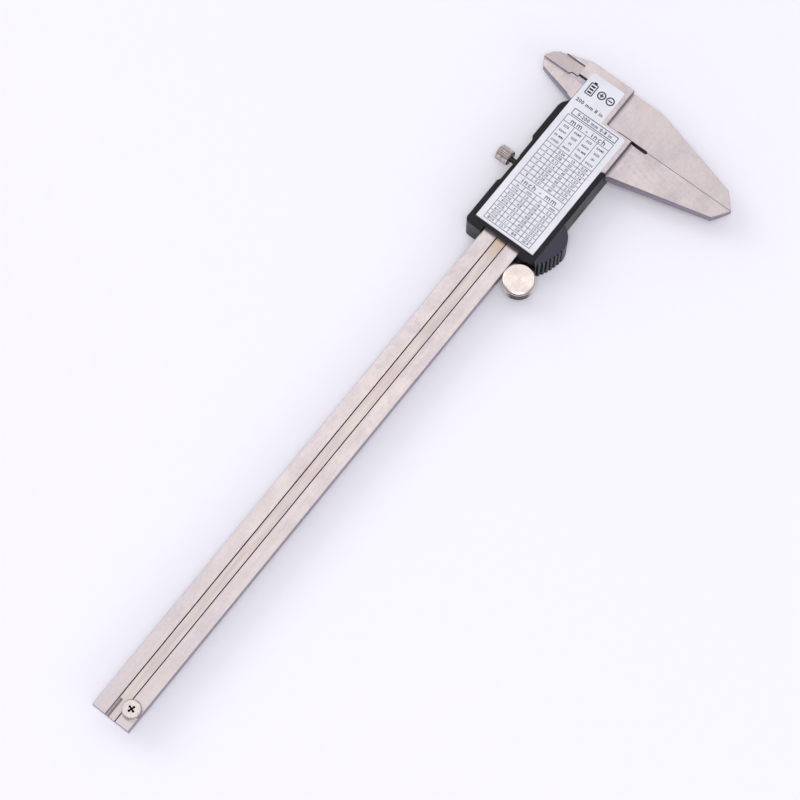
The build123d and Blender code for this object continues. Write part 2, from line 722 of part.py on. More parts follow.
def board_screws():
    return Compound(children=[
        flat_screw(x, BOARD_SCREW_Y, BOARD_Z[1] + 0.8, 4.0, 1.35) for x in BOARD_SCREW_XS
    ])


def processor_chip():
    """The sealed drop of black resin over the measuring chip."""
    drop = Pos(-37.5, 4.5, BOARD_Z[0]) * Sphere(4.2)
    drop = Pos(0, 0, 3.4) * drop
    return drop & block((-50, -25), (-2, 11), (BOARD_Z[0] - 1.0, BOARD_Z[0]))


def button_pad():
    """The silicone mat with one dome behind each button."""
    pad = block((-51.4, -23.0), (-11.5, -4.2), (BOARD_Z[0] - 0.5, BOARD_Z[0]))
    for x in BUTTON_XS.values():
        dome = Pos(x, BUTTON_Y, BOARD_Z[0] - 0.5 - 0.35) * Cone(2.0, 2.6, 0.7)
        pad += dome
    return pad


def button(x):
    """A round push button: crown, flange that keeps it in, and stem."""
    profile = [
        (0, BUTTON_CROWN_Z),
        (BUTTON_RADIUS - 0.5, BUTTON_CROWN_Z),
        (BUTTON_RADIUS, BUTTON_CROWN_Z + 0.4),
        (BUTTON_RADIUS, WALL_INNER_Z + 0.1),
        (BUTTON_RADIUS + 0.8, WALL_INNER_Z + 0.1),
        (BUTTON_RADIUS + 0.8, WALL_INNER_Z + 0.7),
        (1.5, WALL_INNER_Z + 0.7),
        (1.5, BOARD_Z[0] - 1.3 - BUTTON_TRAVEL),
        (0, BOARD_Z[0] - 1.3 - BUTTON_TRAVEL),
    ]
    return turned(profile, x, BUTTON_Y)


def battery_cell():
    low, high = CELL_Z
    profile = [
        (0, low), (CELL_RADIUS - 0.3, low), (CELL_RADIUS, low + 0.3), (CELL_RADIUS, high - 0.8),
        (CELL_RADIUS - 0.7, high - 0.6), (CELL_RADIUS - 0.7, high), (0, high),
    ]
    return turned(profile, CELL_X, 0)


def battery_spring():
    """The leaf under the cell that reaches back over the board's edge."""
    z_range = (CELL_Z[1] + 0.01, CELL_Z[1] + 0.16)
    return sheet_arm((CELL_X, 0), (-19.0, 0), 1.8, z_range, end_radius=3.0)


def battery_side_contact():
    x = CELL_X + CELL_RADIUS
    return block((x + 0.02, x + 0.2), (-1.4, 1.4), (-9.5, -4.3))


def battery_cover():
    low, high = COVER_Z
    half = COVER_HALF_WIDTH
    cover = block((COVER_X[0], COVER_X[1] - 0.1), (-half, half), (low, high))
    cover += block((COVER_X[0], COVER_X[1] - 0.1), (-half - 0.75, half + 0.75), (high - 0.25, high))
    for x in (-12.6, -11.4, -10.2, -9.0, -7.8):
        cover -= block((x, x + 0.5), (-3.5, 3.5), (low - 1, low + 0.2))
    return cover


# ------------------------------------------------- roller and lock screw

def thumb_roller():
    top, bottom = ROLLER_TOP_Z, ROLLER_BOTTOM_Z
    upper, lower = ROLLER_GROOVE
    waist = ROLLER_RADIUS - ROLLER_GROOVE_DEPTH
    bore = AXLE_RADIUS + AXLE_CLEARANCE
    inset, drop = ROLLER_EDGE
    profile = [
        (0, top),
        (ROLLER_RADIUS - inset, top),
        (ROLLER_RADIUS, top - drop),
        (ROLLER_RADIUS, upper),
        (waist, upper),
        (waist, lower),
        (ROLLER_RADIUS, lower),
        (ROLLER_RADIUS, bottom + 0.2),
        (ROLLER_RADIUS - 0.2, bottom),
        (bore, bottom),
        (bore, top - 2.0),
        (0, top - 2.0),
    ]
    return turned(profile, ROLLER_X, ROLLER_Y)


def roller_axle():
    low = ARM_TOP_Z - ARM_THICKNESS
    axle = post(ROLLER_X, ROLLER_Y, AXLE_RADIUS, (low, ROLLER_TOP_Z - 2.2))
    return axle + post(ROLLER_X, ROLLER_Y, 1.9, (low - 0.5, low))


def roller_arm():
    """The sprung strip that carries the roller and presses it to the beam."""
    z_range = (ARM_TOP_Z - ARM_THICKNESS, ARM_TOP_Z)
    arm = sheet_arm((ROLLER_X, ROLLER_Y), ARM_END, 4.6, z_range, end_radius=3.0)
    arm -= post(ROLLER_X, ROLLER_Y, AXLE_RADIUS + SCREW_FIT, z_range)
    return arm - post(*ARM_SCREW, SCREW_RADIUS + SCREW_FIT, z_range)


def arm_screw():
    return flat_screw(*ARM_SCREW, ARM_TOP_Z + 0.8, 3.2, 1.3)


def lock_stud():
    tip = HALF_BEAM + GIB_THICKNESS + GIB_PLAY + LOCK_SLACK
    return cross_post(LOCK_X, LOCK_Z, LOCK_STUD_RADIUS, (tip, LOCK_KNOB_Y[1] - 1.2))


def lock_knob():
    """The knurled knob: a turned head with straight grooves around it."""
    low, high = LOCK_KNOB_Y
    knob = cross_post(LOCK_X, LOCK_Z, LOCK_KNOB_RADIUS, (low, high))
    ends = knob.edges().filter_by(GeomType.CIRCLE)
    knob = chamfer(ends, 0.45)
    for groove in range(KNURL_COUNT):
        angle = 360 / KNURL_COUNT * groove
        cutter = Rot(0, angle, 0) * Pos(LOCK_KNOB_RADIUS, 0, 0) * Rot(0, 45, 0)
        cutter = Pos(LOCK_X, (low + high) / 2, LOCK_Z) * cutter * Box(0.34, high - low + 1, 0.34)
        knob -= cutter
    knob -= cross_post(LOCK_X, LOCK_Z, LOCK_STUD_RADIUS + 0.05, (low - 1, high - 1.1))
    return knob


NODES = {
    "beam_and_fixed_jaws": beam_and_fixed_jaws,
    "stator_strip": stator_strip,
    "ruler_foil": ruler_foil,
    "stop_screw": stop_screw,
    "slider_frame": slider_frame,
    "back_label": back_label,
    "depth_rod": depth_rod,
    "rod_screws": rod_screws,
    "gib_strip": gib_strip,
    "gib_screws": gib_screws,
    "retaining_strips": retaining_strips,
    "strip_screws": strip_screws,
    "frame_screws": frame_screws,
    "housing": housing,
    "front_panel": front_panel,
    "display_window": display_window,
    "lcd_glass": lcd_glass,
    "contact_rubbers": contact_rubbers,
    "circuit_board": circuit_board,
    "sensor_board": sensor_board,
    "board_screws": board_screws,
    "processor_chip": processor_chip,
    "button_pad": button_pad,
    "battery_cell": battery_cell,
    "battery_spring": battery_spring,
    "battery_side_contact": battery_side_contact,
    "battery_cover": battery_cover,
    "thumb_roller": thumb_roller,
    "roller_axle": roller_axle,
    "roller_arm": roller_arm,
    "arm_screw": arm_screw,
    "lock_stud": lock_stud,
    "lock_knob": lock_knob,
}

os.makedirs("parts", exist_ok=True)
for name, make in NODES.items():
    export_step(SHIFT * make(), f"parts/{name}.step")
for name, x in BUTTON_XS.items():
    export_step(SHIFT * button(x), f"parts/{name}.step")
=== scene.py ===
"""Electronic slide caliper, closed, lying on its display face: finishes, print and light.

Lengths are millimetres in the caliper's own frame: X = 0 where the outside jaws
meet, Y = 0 along the middle of the beam, Z = 0 on the beam's back face. place()
carries them into the row frame, in metres. The back label reads towards -Y and
the display side reads towards -X.
"""

import bmesh
import bpy
import numpy as np
from mathutils import Matrix, Vector


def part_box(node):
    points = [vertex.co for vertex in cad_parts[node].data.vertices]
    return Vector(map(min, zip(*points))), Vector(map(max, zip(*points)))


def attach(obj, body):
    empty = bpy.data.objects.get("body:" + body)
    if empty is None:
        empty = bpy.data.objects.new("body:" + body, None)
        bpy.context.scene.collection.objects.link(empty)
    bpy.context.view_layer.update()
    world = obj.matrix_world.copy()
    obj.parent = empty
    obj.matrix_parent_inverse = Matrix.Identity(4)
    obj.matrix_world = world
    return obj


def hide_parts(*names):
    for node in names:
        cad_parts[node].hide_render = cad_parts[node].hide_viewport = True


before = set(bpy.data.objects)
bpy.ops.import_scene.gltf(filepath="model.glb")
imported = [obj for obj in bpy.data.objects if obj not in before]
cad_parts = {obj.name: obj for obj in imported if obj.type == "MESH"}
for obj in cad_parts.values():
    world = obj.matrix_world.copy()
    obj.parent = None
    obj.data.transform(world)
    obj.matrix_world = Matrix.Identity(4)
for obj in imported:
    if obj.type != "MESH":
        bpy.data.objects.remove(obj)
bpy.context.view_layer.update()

MM = 0.001
JAW_END_X = 15.8
JAW_TIP_Y = -57.7
beam_low, beam_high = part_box("beam_and_fixed_jaws")
DATUM = np.array([beam_high.x - JAW_END_X * MM, beam_low.y - JAW_TIP_Y * MM, beam_high.z])

# Camera
CAMERA_PLACE = Vector((-0.2323, -0.1764, 0.9020))
CAMERA_AIM = Vector((0.0019, 0.0053, 0.0105))
CAMERA_UP = Vector((0.790, 0.613, 0.0))
CAMERA_LENS = 121.74
SENSOR_WIDTH = 36.0

# Back label
LABEL_REAR_X = -57.2
LABEL_END_X = -1.7
LABEL_FAR_X = 12.9
LABEL_LOW_Y = -12.3
LABEL_HIGH_Y = 12.75
LABEL_STEP_Y = -1.35
LABEL_RADII = (0.7, 1.1, 0.5, 0.9, 1.4, 1.0)
LABEL_BASE_Z = 2.1
LABEL_TOP_Z = 2.19
INK_TOP_Z = 2.205

# Printed tables
COLUMN_YS = np.linspace(10.26, -9.91, 5)
ROW_PITCH = 2.0
REAR_TABLE_X = -56.1
REAR_ROWS = 9
SECOND_TITLE_X = REAR_TABLE_X + REAR_ROWS * ROW_PITCH
FRONT_TABLE_X = SECOND_TITLE_X + 3.2
FRONT_ROWS = 8
HEADING_X = FRONT_TABLE_X + FRONT_ROWS * ROW_PITCH
FIRST_TITLE_X = HEADING_X + 10.1
TABLE_END_X = FIRST_TITLE_X + 3.0
RULE_WIDTH = 0.2
INCH = 25.4
CAP_SHARE = 0.70
CELL_CAP = 1.0
HEADING_CAP = 0.85
HEADING_DROP = 1.6
HEADING_PITCH = 2.3
TITLE_CAP = 2.1
UNITS = ("in", "mm", "in", "mm")
HEADINGS = (
    ("SIZE", "READ", "IN MM", "ONES"), ("SAME", "SIZE", "IN", "INCH"),
    ("SIZE", "READ", "IN MM", "TENS"), ("SAME", "SIZE", "IN", "INCH"),
)

# Size lines: the range in its frame, and the class above it, each at (x, y) with its cap height
RANGE_FRAME = (-5.1, -2.6, -9.8, 9.5)
RANGE_FRAME_WIDTH = 0.28
RANGE_LINE = (-3.85, -0.15, 1.3)
CLASS_LINE = (0.85, 5.7, 1.4)

# Battery mark: its case as x0, x1, y0, y1, and the charge bars' low x
BATTERY_CASE = (4.5, 9.3, 7.9, 10.7)
BATTERY_STROKE = 0.42
TERMINAL_HEIGHT = 0.85
TERMINAL_INSET = 0.8
CHARGE_XS = (5.15, 6.45, 7.75)
CHARGE_WIDTH = 0.75
CHARGE_INSET = 0.55

# Polarity marks
MARK_X = 7.1
PLUS_Y = 4.9
MINUS_Y = 1.1
MARK_RADIUS = 1.45
MARK_STROKE = 0.5

# Display side
RULER_FACE_Z = -3.57
RULER_HALF_WIDTH = 5.5
RULER_ZERO_X = -62.0
RULER_LENGTH = 200
RULER_STROKE = 0.12
RULER_PRINT = 0.02
MM_LENGTHS = (3.0, 2.3, 1.6)
INCH_LENGTHS = (3.0, 2.4, 1.9, 1.3)
MM_NUMBER_Y = -1.55
MM_NUMBER_CAP = 1.5
INCH_NUMBER_Y = 2.7
INCH_NUMBER_CAP = 1.8
INCH_NUMBER_SHIFT = 1.5
PANEL_FACE_Z = -10.35
PANEL_PRINT = 0.02
PANEL_FRAME = (-52.2, -22.0, -1.9, 11.9)
PANEL_STROKE = 0.3
PANEL_WORD_Y = -3.4
BUTTON_Y = -8.0
BUTTON_MARK_Z = (-10.42, -10.4)
COVER_ARROW = ((-6.2, -1.7), (-3.4, 0.0), (-6.2, 1.7))
ARROW_Z = (-10.48, -10.4)
BUTTON_XS = {"unit": -47.5, "power": -37.5, "zero": -27.5}
LCD_FACE_Z = -8.8
LCD_MIDDLE = (-37.1, 5.0)
SEGMENT_DEPTH = 0.01
DIGITS = 6
DIGIT_PITCH = 4.0
DIGIT_WIDTH = 2.2
DIGIT_HEIGHT = 4.4
SEGMENT_STROKE = 0.42
SEGMENT_GAP = 0.1

# Thumb roller and stop screw
ROLLER_CENTRE = (-66.7, -13.6)
ROLLER_RADIUS = 5.8
ROLLER_WAIST = 5.0
# the side of the roller that is painted with a dark reflection
DARK_REFLECTION_SIDE = (-0.79, -0.61, 0.0)
STOP_CENTRE = (-269.3, -4.2)
STOP_CROWN_Z = 2.0
DRIVER_REACH = 1.8

# Places on the steel and the housing, as two opposite corners
# the gap boxes below get painted shade on their walls, and the thumb rest's box gets a painted sheen
ROD_GROOVE = ((-276.5, -2.4, -2.1), (-5.9, 2.4, -0.05))
JAW_RELIEF = ((-1.2, -21.2, -3.7), (0.6, -7.6, -0.05))
DULL_JAW = ((6.0, 16.4, 0.9), (13.3, 32.0, 1.3))
INNER_RELIEF = ((9.0, 12.9, -4.0), (9.6, 16.75, 2.2))
THUMB_REST = ((-60.0, -20.0, 0.5), (-40.0, -14.35, 2.3))
WELD_DISTANCE = 0.0005


def place(points):
    """Millimetres in the caliper's frame to metres in the row frame."""
    return np.asarray(points, float) * MM + DATUM


# ------------------------------------------------------------------ shapes

def bars(boxes):
    """Closed rectangular bars, one for each (x0, x1, y0, y1, z0, z1) row.

    Corner k of a bar takes its low or high x, y and z from the three bits of k.
    """
    boxes = np.asarray(boxes, float).reshape(-1, 3, 2)
    boxes = np.sort(boxes, axis=2)
    bits = (np.arange(8)[:, None] >> np.arange(3)) & 1
    points = boxes[:, np.arange(3), bits].reshape(-1, 3)
    sides = np.array([(0, 2, 3, 1), (4, 5, 7, 6), (0, 1, 5, 4), (2, 6, 7, 3), (0, 4, 6, 2), (1, 3, 7, 5)])
    faces = (sides[None] + 8 * np.arange(len(boxes))[:, None, None]).reshape(-1, 4)
    return points, [tuple(f) for f in faces.tolist()]


def slab(outline, z0, z1):
    """A flat closed plate: an anticlockwise outline carried straight from z0 up to z1."""
    outline = np.asarray(outline, float)
    count = len(outline)
    low, high = sorted((z0, z1))
    points = np.vstack([np.column_stack([outline, np.full(count, z)]) for z in (low, high)])
    ring = np.arange(count)
    after = np.roll(ring, -1)
    walls = np.column_stack([ring, after, after + count, ring + count])
    caps = [tuple(ring[::-1].tolist()), tuple((ring + count).tolist())]
    return points, [tuple(f) for f in walls.tolist()] + caps


def ring_band(centre, radius, stroke, z0, z1, steps=40):
    """A flat ring: a rectangle stroke wide, carried round a circle."""
    turn = np.linspace(0, 2 * np.pi, steps, endpoint=False)
    low, high = sorted((z0, z1))
    section = [(radius + stroke / 2, low), (radius + stroke / 2, high),
               (radius - stroke / 2, high), (radius - stroke / 2, low)]
    points = np.array([
        (centre[0] + r * np.cos(turn), centre[1] + r * np.sin(turn), np.full(steps, z)) for r, z in section
    ]).transpose(0, 2, 1).reshape(-1, 3)
    step = np.arange(steps)
    after = np.roll(step, -1)
    faces = []
    for side in range(4):
        near, far = side * steps, (side + 1) % 4 * steps
        quads = np.column_stack([near + step, near + after, far + after, far + step])
        faces += [tuple(f) for f in quads.tolist()]
    return points, faces


def rounded(corners, radii, steps=6):
    """An outline whose corners are arcs: each is a fan of points at its radius, tangent to both sides."""
    corners = np.asarray(corners, float)
    outline = []
    for i, (corner, radius) in enumerate(zip(corners, radii)):
        to_last = corners[i - 1] - corner
        to_next = corners[(i + 1) % len(corners)] - corner
        a, b = to_last / np.linalg.norm(to_last), to_next / np.linalg.norm(to_next)
        half = np.arccos(np.clip(a @ b, -1, 1)) / 2
        middle = corner + (a + b) / np.linalg.norm(a + b) * radius / np.sin(half)
        start, end = corner + a * radius / np.tan(half), corner + b * radius / np.tan(half)
        share = np.linspace(0, 1, steps + 1)[:, None]
        chord = (start - middle) * (1 - share) + (end - middle) * share
        outline.append(middle + chord / np.linalg.norm(chord, axis=1)[:, None] * radius)
    return np.vstack(outline)


def segment_bar(centre, length, thickness, upright, z0, z1):
    """One display segment: a hexagon, pointed at both ends."""
    half, tip = length / 2, thickness / 2
    along = np.array([-half, -half + tip, half - tip, half, half - tip, -half + tip])
    across = np.array([0, -tip, -tip, 0, tip, tip])
    outline = np.column_stack([-across, along] if upright else [along, across])
    return slab(outline + centre, z0, z1)


# Reading directions: the columns are where a letter's own x, y and z point
BACK_READING = np.array([[0, 1, 0], [-1, 0, 0], [0, 0, 1]], float)
FRONT_READING = np.array([[-1, 0, 0], [0, 1, 0], [0, 0, -1]], float)
READING_TILT = {"back": BACK_READING, "front": FRONT_READING}


def lettering(text, x, y, face_z, cap_height, side="back", depth=0.015, weight=0.0, spacing=1.0):
    """Centred text standing depth proud of a face, as closed mesh."""
    curve = bpy.data.curves.new("text", "FONT")
    curve.body = text
    curve.size = cap_height / CAP_SHARE
    curve.align_x = "CENTER"
    curve.resolution_u = 2
    curve.extrude = depth / 2
    curve.offset = weight
    curve.space_character = spacing
    carrier = bpy.data.objects.new("text", curve)
    mesh = bpy.data.meshes.new_from_object(carrier)
    points = np.empty(len(mesh.vertices) * 3)
    mesh.vertices.foreach_get("co", points)
    points = points.reshape(-1, 3) + (0, -cap_height / 2, depth / 2)
    faces = [tuple(p.vertices) for p in mesh.polygons]
    bpy.data.objects.remove(carrier)
    bpy.data.curves.remove(curve)
    bpy.data.meshes.remove(mesh)
    return points @ READING_TILT[side].T + (x, y, face_z), faces


def piece(name, parts, material, body, merge=False):
    """One mesh piece made of several (points, faces) parts, riding on a body."""
    points, faces, offset = [], [], 0
    for part_points, part_faces in parts:
        points.append(part_points)
        faces += [tuple(v + offset for v in f) for f in part_faces]
        offset += len(part_points)
    mesh = bpy.data.meshes.new(name)
    mesh.from_pydata(place(np.vstack(points)).tolist(), [], faces)
    mesh.update()
    if merge:
        weld(mesh)
    made = bpy.data.objects.new(name, mesh)
    bpy.context.scene.collection.objects.link(made)
    mesh.materials.append(material)
    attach(made, body)
    return made


def weld(mesh):
    """Merges doubled points, so that letters' faces and edges join into closed shells."""
    work = bmesh.new()
    work.from_mesh(mesh)
    bmesh.ops.remove_doubles(work, verts=work.verts, dist=WELD_DISTANCE * MM)
    work.to_mesh(mesh)
    work.free()


# --------------------------------------------------------------- materials

def linear(colour):
    """An sRGB hex value as linear red, green, blue and alpha."""
    srgb = np.array([int(colour[i:i + 2], 16) for i in (1, 3, 5)]) / 255
    rgb = np.where(srgb <= 0.04045, srgb / 12.92, ((srgb + 0.055) / 1.055) ** 2.4)
    return (*rgb.tolist(), 1.0)


def wire(tree, target, inputs):
    """Sets or links a node's inputs.

    A value is a number, a vector, a hex colour, a socket, or another node, which
    stands for its first output in use.
    """
    for socket, value in dict(inputs).items():
        if isinstance(value, bpy.types.Node):
            value = next(output for output in value.outputs if output.enabled)
        if isinstance(value, bpy.types.NodeSocket):
            tree.links.new(value, target.inputs[socket])
        else:
            target.inputs[socket].default_value = linear(value) if isinstance(value, str) else value


def node(tree, kind, inputs=(), **settings):
    """Adds a shader node, named without its prefix, with its settings and inputs."""
    made = tree.nodes.new("ShaderNode" + kind)
    for key, value in settings.items():
        setattr(made, key, value)
    wire(tree, made, inputs)
    return made


def finish(name, colour, roughness, metallic=0.0, **sockets):
    """A new material with its Principled shader set; returns the material, its tree and the shader."""
    material = bpy.data.materials.new(name)
    material.use_nodes = True
    tree = material.node_tree
    shader = tree.nodes["Principled BSDF"]
    wire(tree, shader, {"Base Color": colour, "Roughness": roughness, "Metallic": metallic, **sockets})
    return material, tree, shader


def grain(tree, cell, detail=2.0, turn=0.0):
    """Cloudy noise whose cells measure cell = (x, y, z) millimetres, turned in degrees about Z."""
    sized = node(tree, "Mapping", {
        "Vector": node(tree, "TexCoord").outputs["Object"],
        "Rotation": (0, 0, np.radians(turn)), "Scale": [size * MM for size in cell],
    }, vector_type="TEXTURE")
    return node(tree, "TexNoise", {"Vector": sized, "Scale": 1.0, "Detail": detail, "Roughness": 0.55})


def inside_box(tree, low, high):
    """1 inside the box between two corners, in millimetres, and 0 outside.

    The largest of |point - middle| / half size over x, y and z is below 1 inside.
    """
    low, high = place(low), place(high)
    offset = node(tree, "VectorMath", {
        0: node(tree, "TexCoord").outputs["Object"], 1: tuple((low + high) / 2),
    }, operation="SUBTRACT")
    share = node(tree, "VectorMath", {0: offset, 1: tuple((high - low) / 2)}, operation="DIVIDE")
    share = node(tree, "SeparateXYZ", {0: node(tree, "VectorMath", {0: share}, operation="ABSOLUTE")})
    most = node(tree, "Math", {0: share.outputs["X"], 1: share.outputs["Y"]}, operation="MAXIMUM")
    most = node(tree, "Math", {0: most, 1: share.outputs["Z"]}, operation="MAXIMUM")
    return node(tree, "Math", {0: most, 1: 1.0}, operation="LESS_THAN")


def on_walls(tree, upright=0.55, level=0.9):
    """1 where the normal's height is below upright, as on walls, and 0 where it is above level."""
    normal = node(tree, "SeparateXYZ", {0: node(tree, "TexCoord").outputs["Normal"]})
    height = node(tree, "Math", {0: normal.outputs["Z"]}, operation="ABSOLUTE")
    return node(tree, "MapRange", {
        "Value": height, "From Min": upright, "From Max": level, "To Min": 1.0, "To Max": 0.0,
    })


def about_axis(tree, centre):
    """The level vector out from an upright axis, and its length in metres."""
    out = node(tree, "VectorMath", {
        0: node(tree, "TexCoord").outputs["Object"], 1: tuple(place((*centre, 0.0))),
    }, operation="SUBTRACT")
    level = node(tree, "VectorMath", {0: out, 1: (1, 1, 0)}, operation="MULTIPLY")
    reach = node(tree, "VectorMath", {0: level}, operation="LENGTH").outputs["Value"]
    return level, reach


def ground_stainless(name, scratch_cell, turn, tones, dull_box, gap_box):
    """Stainless steel ground flat on a belt.

    It looks satin, with parallel scratches, clouds of warm and cool grey, a few
    pits, one face ground duller, and side walls darker and lavender, partly for
    their duller sheared finish and partly as painted shade. The walls of the narrow
    gaps are painted black, as painted shade. Real scratches are some 0.05 mm apart;
    these are drawn ten times coarser, so that they show.
    """
    light, dark, warm, shaded_edge = tones
    material, tree, shader = finish(name, light, 0.3, metallic=1.0)
    scratches = grain(tree, scratch_cell, detail=3.0, turn=turn)
    patches = grain(tree, (9.0, 6.0, 9.0), detail=3.0)
    mottle = grain(tree, (1.1, 0.8, 1.1), detail=2.0)
    shade = node(tree, "Math", {0: scratches, 1: patches}, operation="ADD")
    shade = node(tree, "Math", {0: shade, 1: mottle}, operation="ADD")
    share = node(tree, "MapRange", {"Value": shade, "From Min": 1.05, "From Max": 1.95})
    colour = node(tree, "Mix", {0: share, 6: dark, 7: light}, data_type="RGBA")
    clouds = grain(tree, (17.0, 12.0, 17.0), detail=3.0)
    clouds = node(tree, "MapRange", {"Value": clouds, "From Min": 0.42, "From Max": 0.66, "To Max": 0.55})
    colour = node(tree, "Mix", {0: clouds, 6: colour, 7: warm}, data_type="RGBA")
    # a few pits, one to a 6 mm square at most
    cells = node(tree, "TexVoronoi", {
        "Vector": node(tree, "TexCoord").outputs["Object"], "Scale": 1 / (6 * MM),
    })
    rare = node(tree, "SeparateColor", {0: cells.outputs["Color"]})
    size = node(tree, "MapRange", {"Value": rare, "From Min": 0.6, "From Max": 1.0, "To Max": 0.05})
    pits = node(tree, "Math", {0: cells.outputs["Distance"], 1: size}, operation="LESS_THAN")
    colour = node(tree, "Mix", {0: pits, 6: colour, 7: "#6E6663"}, data_type="RGBA")
    dull = node(tree, "Math", {0: inside_box(tree, *dull_box), 1: 0.7}, operation="MULTIPLY")
    colour = node(tree, "Mix", {0: dull, 6: colour, 7: "#B9ADAB"}, data_type="RGBA")
    # painted shade, partly: side walls take a darker lavender tone, for their duller sheared finish and for
    # the shade they stand in
    walls = on_walls(tree)
    colour = node(tree, "Mix", {0: walls, 6: colour, 7: shaded_edge}, data_type="RGBA")
    # painted shade: the walls of the narrow gaps are painted black and made non-metallic
    stain_and_shade = node(tree, "Math", {0: inside_box(tree, *gap_box), 1: walls}, operation="MULTIPLY")
    wire(tree, shader, {
        "Base Color": node(tree, "Mix", {0: stain_and_shade, 6: colour, 7: "#0C0A0A"}, data_type="RGBA"),
        "Metallic": node(tree, "MapRange", {"Value": stain_and_shade, "To Min": 1.0, "To Max": 0.0}),
        "Roughness": node(tree, "MapRange", {
            "Value": shade, "From Min": 1.1, "From Max": 1.9, "To Min": 0.4, "To Max": 0.28,
        }),
        "Normal": node(tree, "Bump", {"Strength": 0.06, "Distance": 0.01 * MM, "Height": scratches}),
    })
    return material


def drawn_steel():
    """Cold-drawn steel rod: long die lines, its sides painted black as shade, brown where lubricant dried by
    the slider.

    The die lines are drawn 0.35 mm wide, several times too coarse, so that they show.
    """
    material, tree, shader = finish("cold_drawn_steel", "#D2C7C2", 0.34, metallic=1.0)
    lines = grain(tree, (60.0, 0.35, 0.35), detail=3.0)
    patches = grain(tree, (16.0, 2.0, 2.0), detail=2.0)
    share = node(tree, "MapRange", {"Value": patches, "From Min": 0.35, "From Max": 0.65})
    steel = node(tree, "Mix", {0: share, 6: "#C4B8B4", 7: "#D3C8C0"}, data_type="RGBA")
    along = node(tree, "SeparateXYZ", {0: node(tree, "TexCoord").outputs["Object"]})
    near = node(tree, "MapRange", {
        "Value": along, "From Min": DATUM[0] - 69 * MM, "From Max": DATUM[0] - 62 * MM, "To Max": 0.8,
    })
    blot = node(tree, "MapRange", {"Value": patches, "From Min": 0.3, "From Max": 0.6, "To Min": 0.3})
    stain_and_shade = node(tree, "Math", {0: near, 1: blot}, operation="MULTIPLY")
    colour = node(tree, "Mix", {0: stain_and_shade, 6: steel, 7: "#C2A88C"}, data_type="RGBA")
    # painted shade: the rod's side walls, down in the groove, are painted black and made non-metallic
    walls = on_walls(tree, 0.2, 0.6)
    wire(tree, shader, {
        "Base Color": node(tree, "Mix", {0: walls, 6: colour, 7: "#0E0C0B"}, data_type="RGBA"),
        "Metallic": node(tree, "MapRange", {"Value": walls, "To Min": 1.0, "To Max": 0.0}),
        "Roughness": node(tree, "MapRange", {
            "Value": lines, "From Min": 0.3, "From Max": 0.7, "To Min": 0.28, "To Max": 0.42,
        }),
        "Normal": node(tree, "Bump", {"Strength": 0.3, "Distance": 0.01 * MM, "Height": lines}),
    })
    return material


def turned_nickel():
    """Nickel plate over a face turned in a lathe.

    It shows fine rings about the axis, brighter in two fans, painted shade in the
    groove, and a painted dark brown reflection on the side towards the camera,
    below the groove. The rings are drawn 0.35 mm apart, three times too coarse,
    so that they show.
    """
    material, tree, shader = finish("turned_nickel_plate", "#D6CBC2", 0.26, metallic=1.0, Anisotropic=0.7)
    level, reach = about_axis(tree, ROLLER_CENTRE)
    rings = node(tree, "TexNoise", {
        "W": node(tree, "Math", {0: reach, 1: 1 / (0.35 * MM)}, operation="MULTIPLY"),
        "Scale": 1.0, "Detail": 2.0,
    }, noise_dimensions="1D")
    clouds = node(tree, "MapRange", {"Value": grain(tree, (2.5,) * 3), "From Min": 0.35, "From Max": 0.65})
    plate = node(tree, "Mix", {0: clouds, 6: "#D3C8BF", 7: "#DED3CA"}, data_type="RGBA")
    waist = node(tree, "MapRange", {
        "Value": reach, "From Min": ROLLER_WAIST * MM, "From Max": (ROLLER_WAIST + 0.5) * MM,
        "To Min": 1.0, "To Max": 0.0,
    })
    walls = on_walls(tree)
    # painted shade: the groove's walls are painted dark brown
    stain_and_shade = node(tree, "Math", {0: waist, 1: walls}, operation="MULTIPLY")
    plate = node(tree, "Mix", {0: stain_and_shade, 6: plate, 7: "#3B2B25"}, data_type="RGBA")
    # painted reflection: on the side towards the camera, below the groove, the wall is painted dark brown, as
    # the shaded floor would show in it
    side = node(tree, "VectorMath", {0: level, 1: DARK_REFLECTION_SIDE}, operation="DOT_PRODUCT").outputs["Value"]
    side = node(tree, "MapRange", {
        "Value": side, "From Min": 0.62 * ROLLER_RADIUS * MM, "From Max": 0.85 * ROLLER_RADIUS * MM,
    })
    height = node(tree, "SeparateXYZ", {0: node(tree, "TexCoord").outputs["Object"]}).outputs["Z"]
    low = node(tree, "MapRange", {
        "Value": height, "From Min": DATUM[2] - 2.4 * MM, "From Max": DATUM[2] - 1.7 * MM,
        "To Min": 1.0, "To Max": 0.0,
    })
    dark_reflection = node(tree, "Math", {0: side, 1: low}, operation="MULTIPLY")
    dark_reflection = node(tree, "Math", {0: dark_reflection, 1: walls}, operation="MULTIPLY")
    wire(tree, shader, {
        "Base Color": node(tree, "Mix", {0: dark_reflection, 6: plate, 7: "#26160F"}, data_type="RGBA"),
        "Metallic": node(tree, "MapRange", {"Value": dark_reflection, "To Min": 1.0, "To Max": 0.0}),
        "Specular IOR Level": 0.25,
        "Tangent": node(tree, "VectorMath", {0: (0, 0, 1), 1: level}, operation="CROSS_PRODUCT"),
        "Roughness": node(tree, "MapRange", {
            "Value": rings, "From Min": 0.3, "From Max": 0.7, "To Min": 0.2, "To Max": 0.34,
        }),
        "Normal": node(tree, "Bump", {"Strength": 0.35, "Distance": 0.01 * MM, "Height": rings}),
    })
    return material


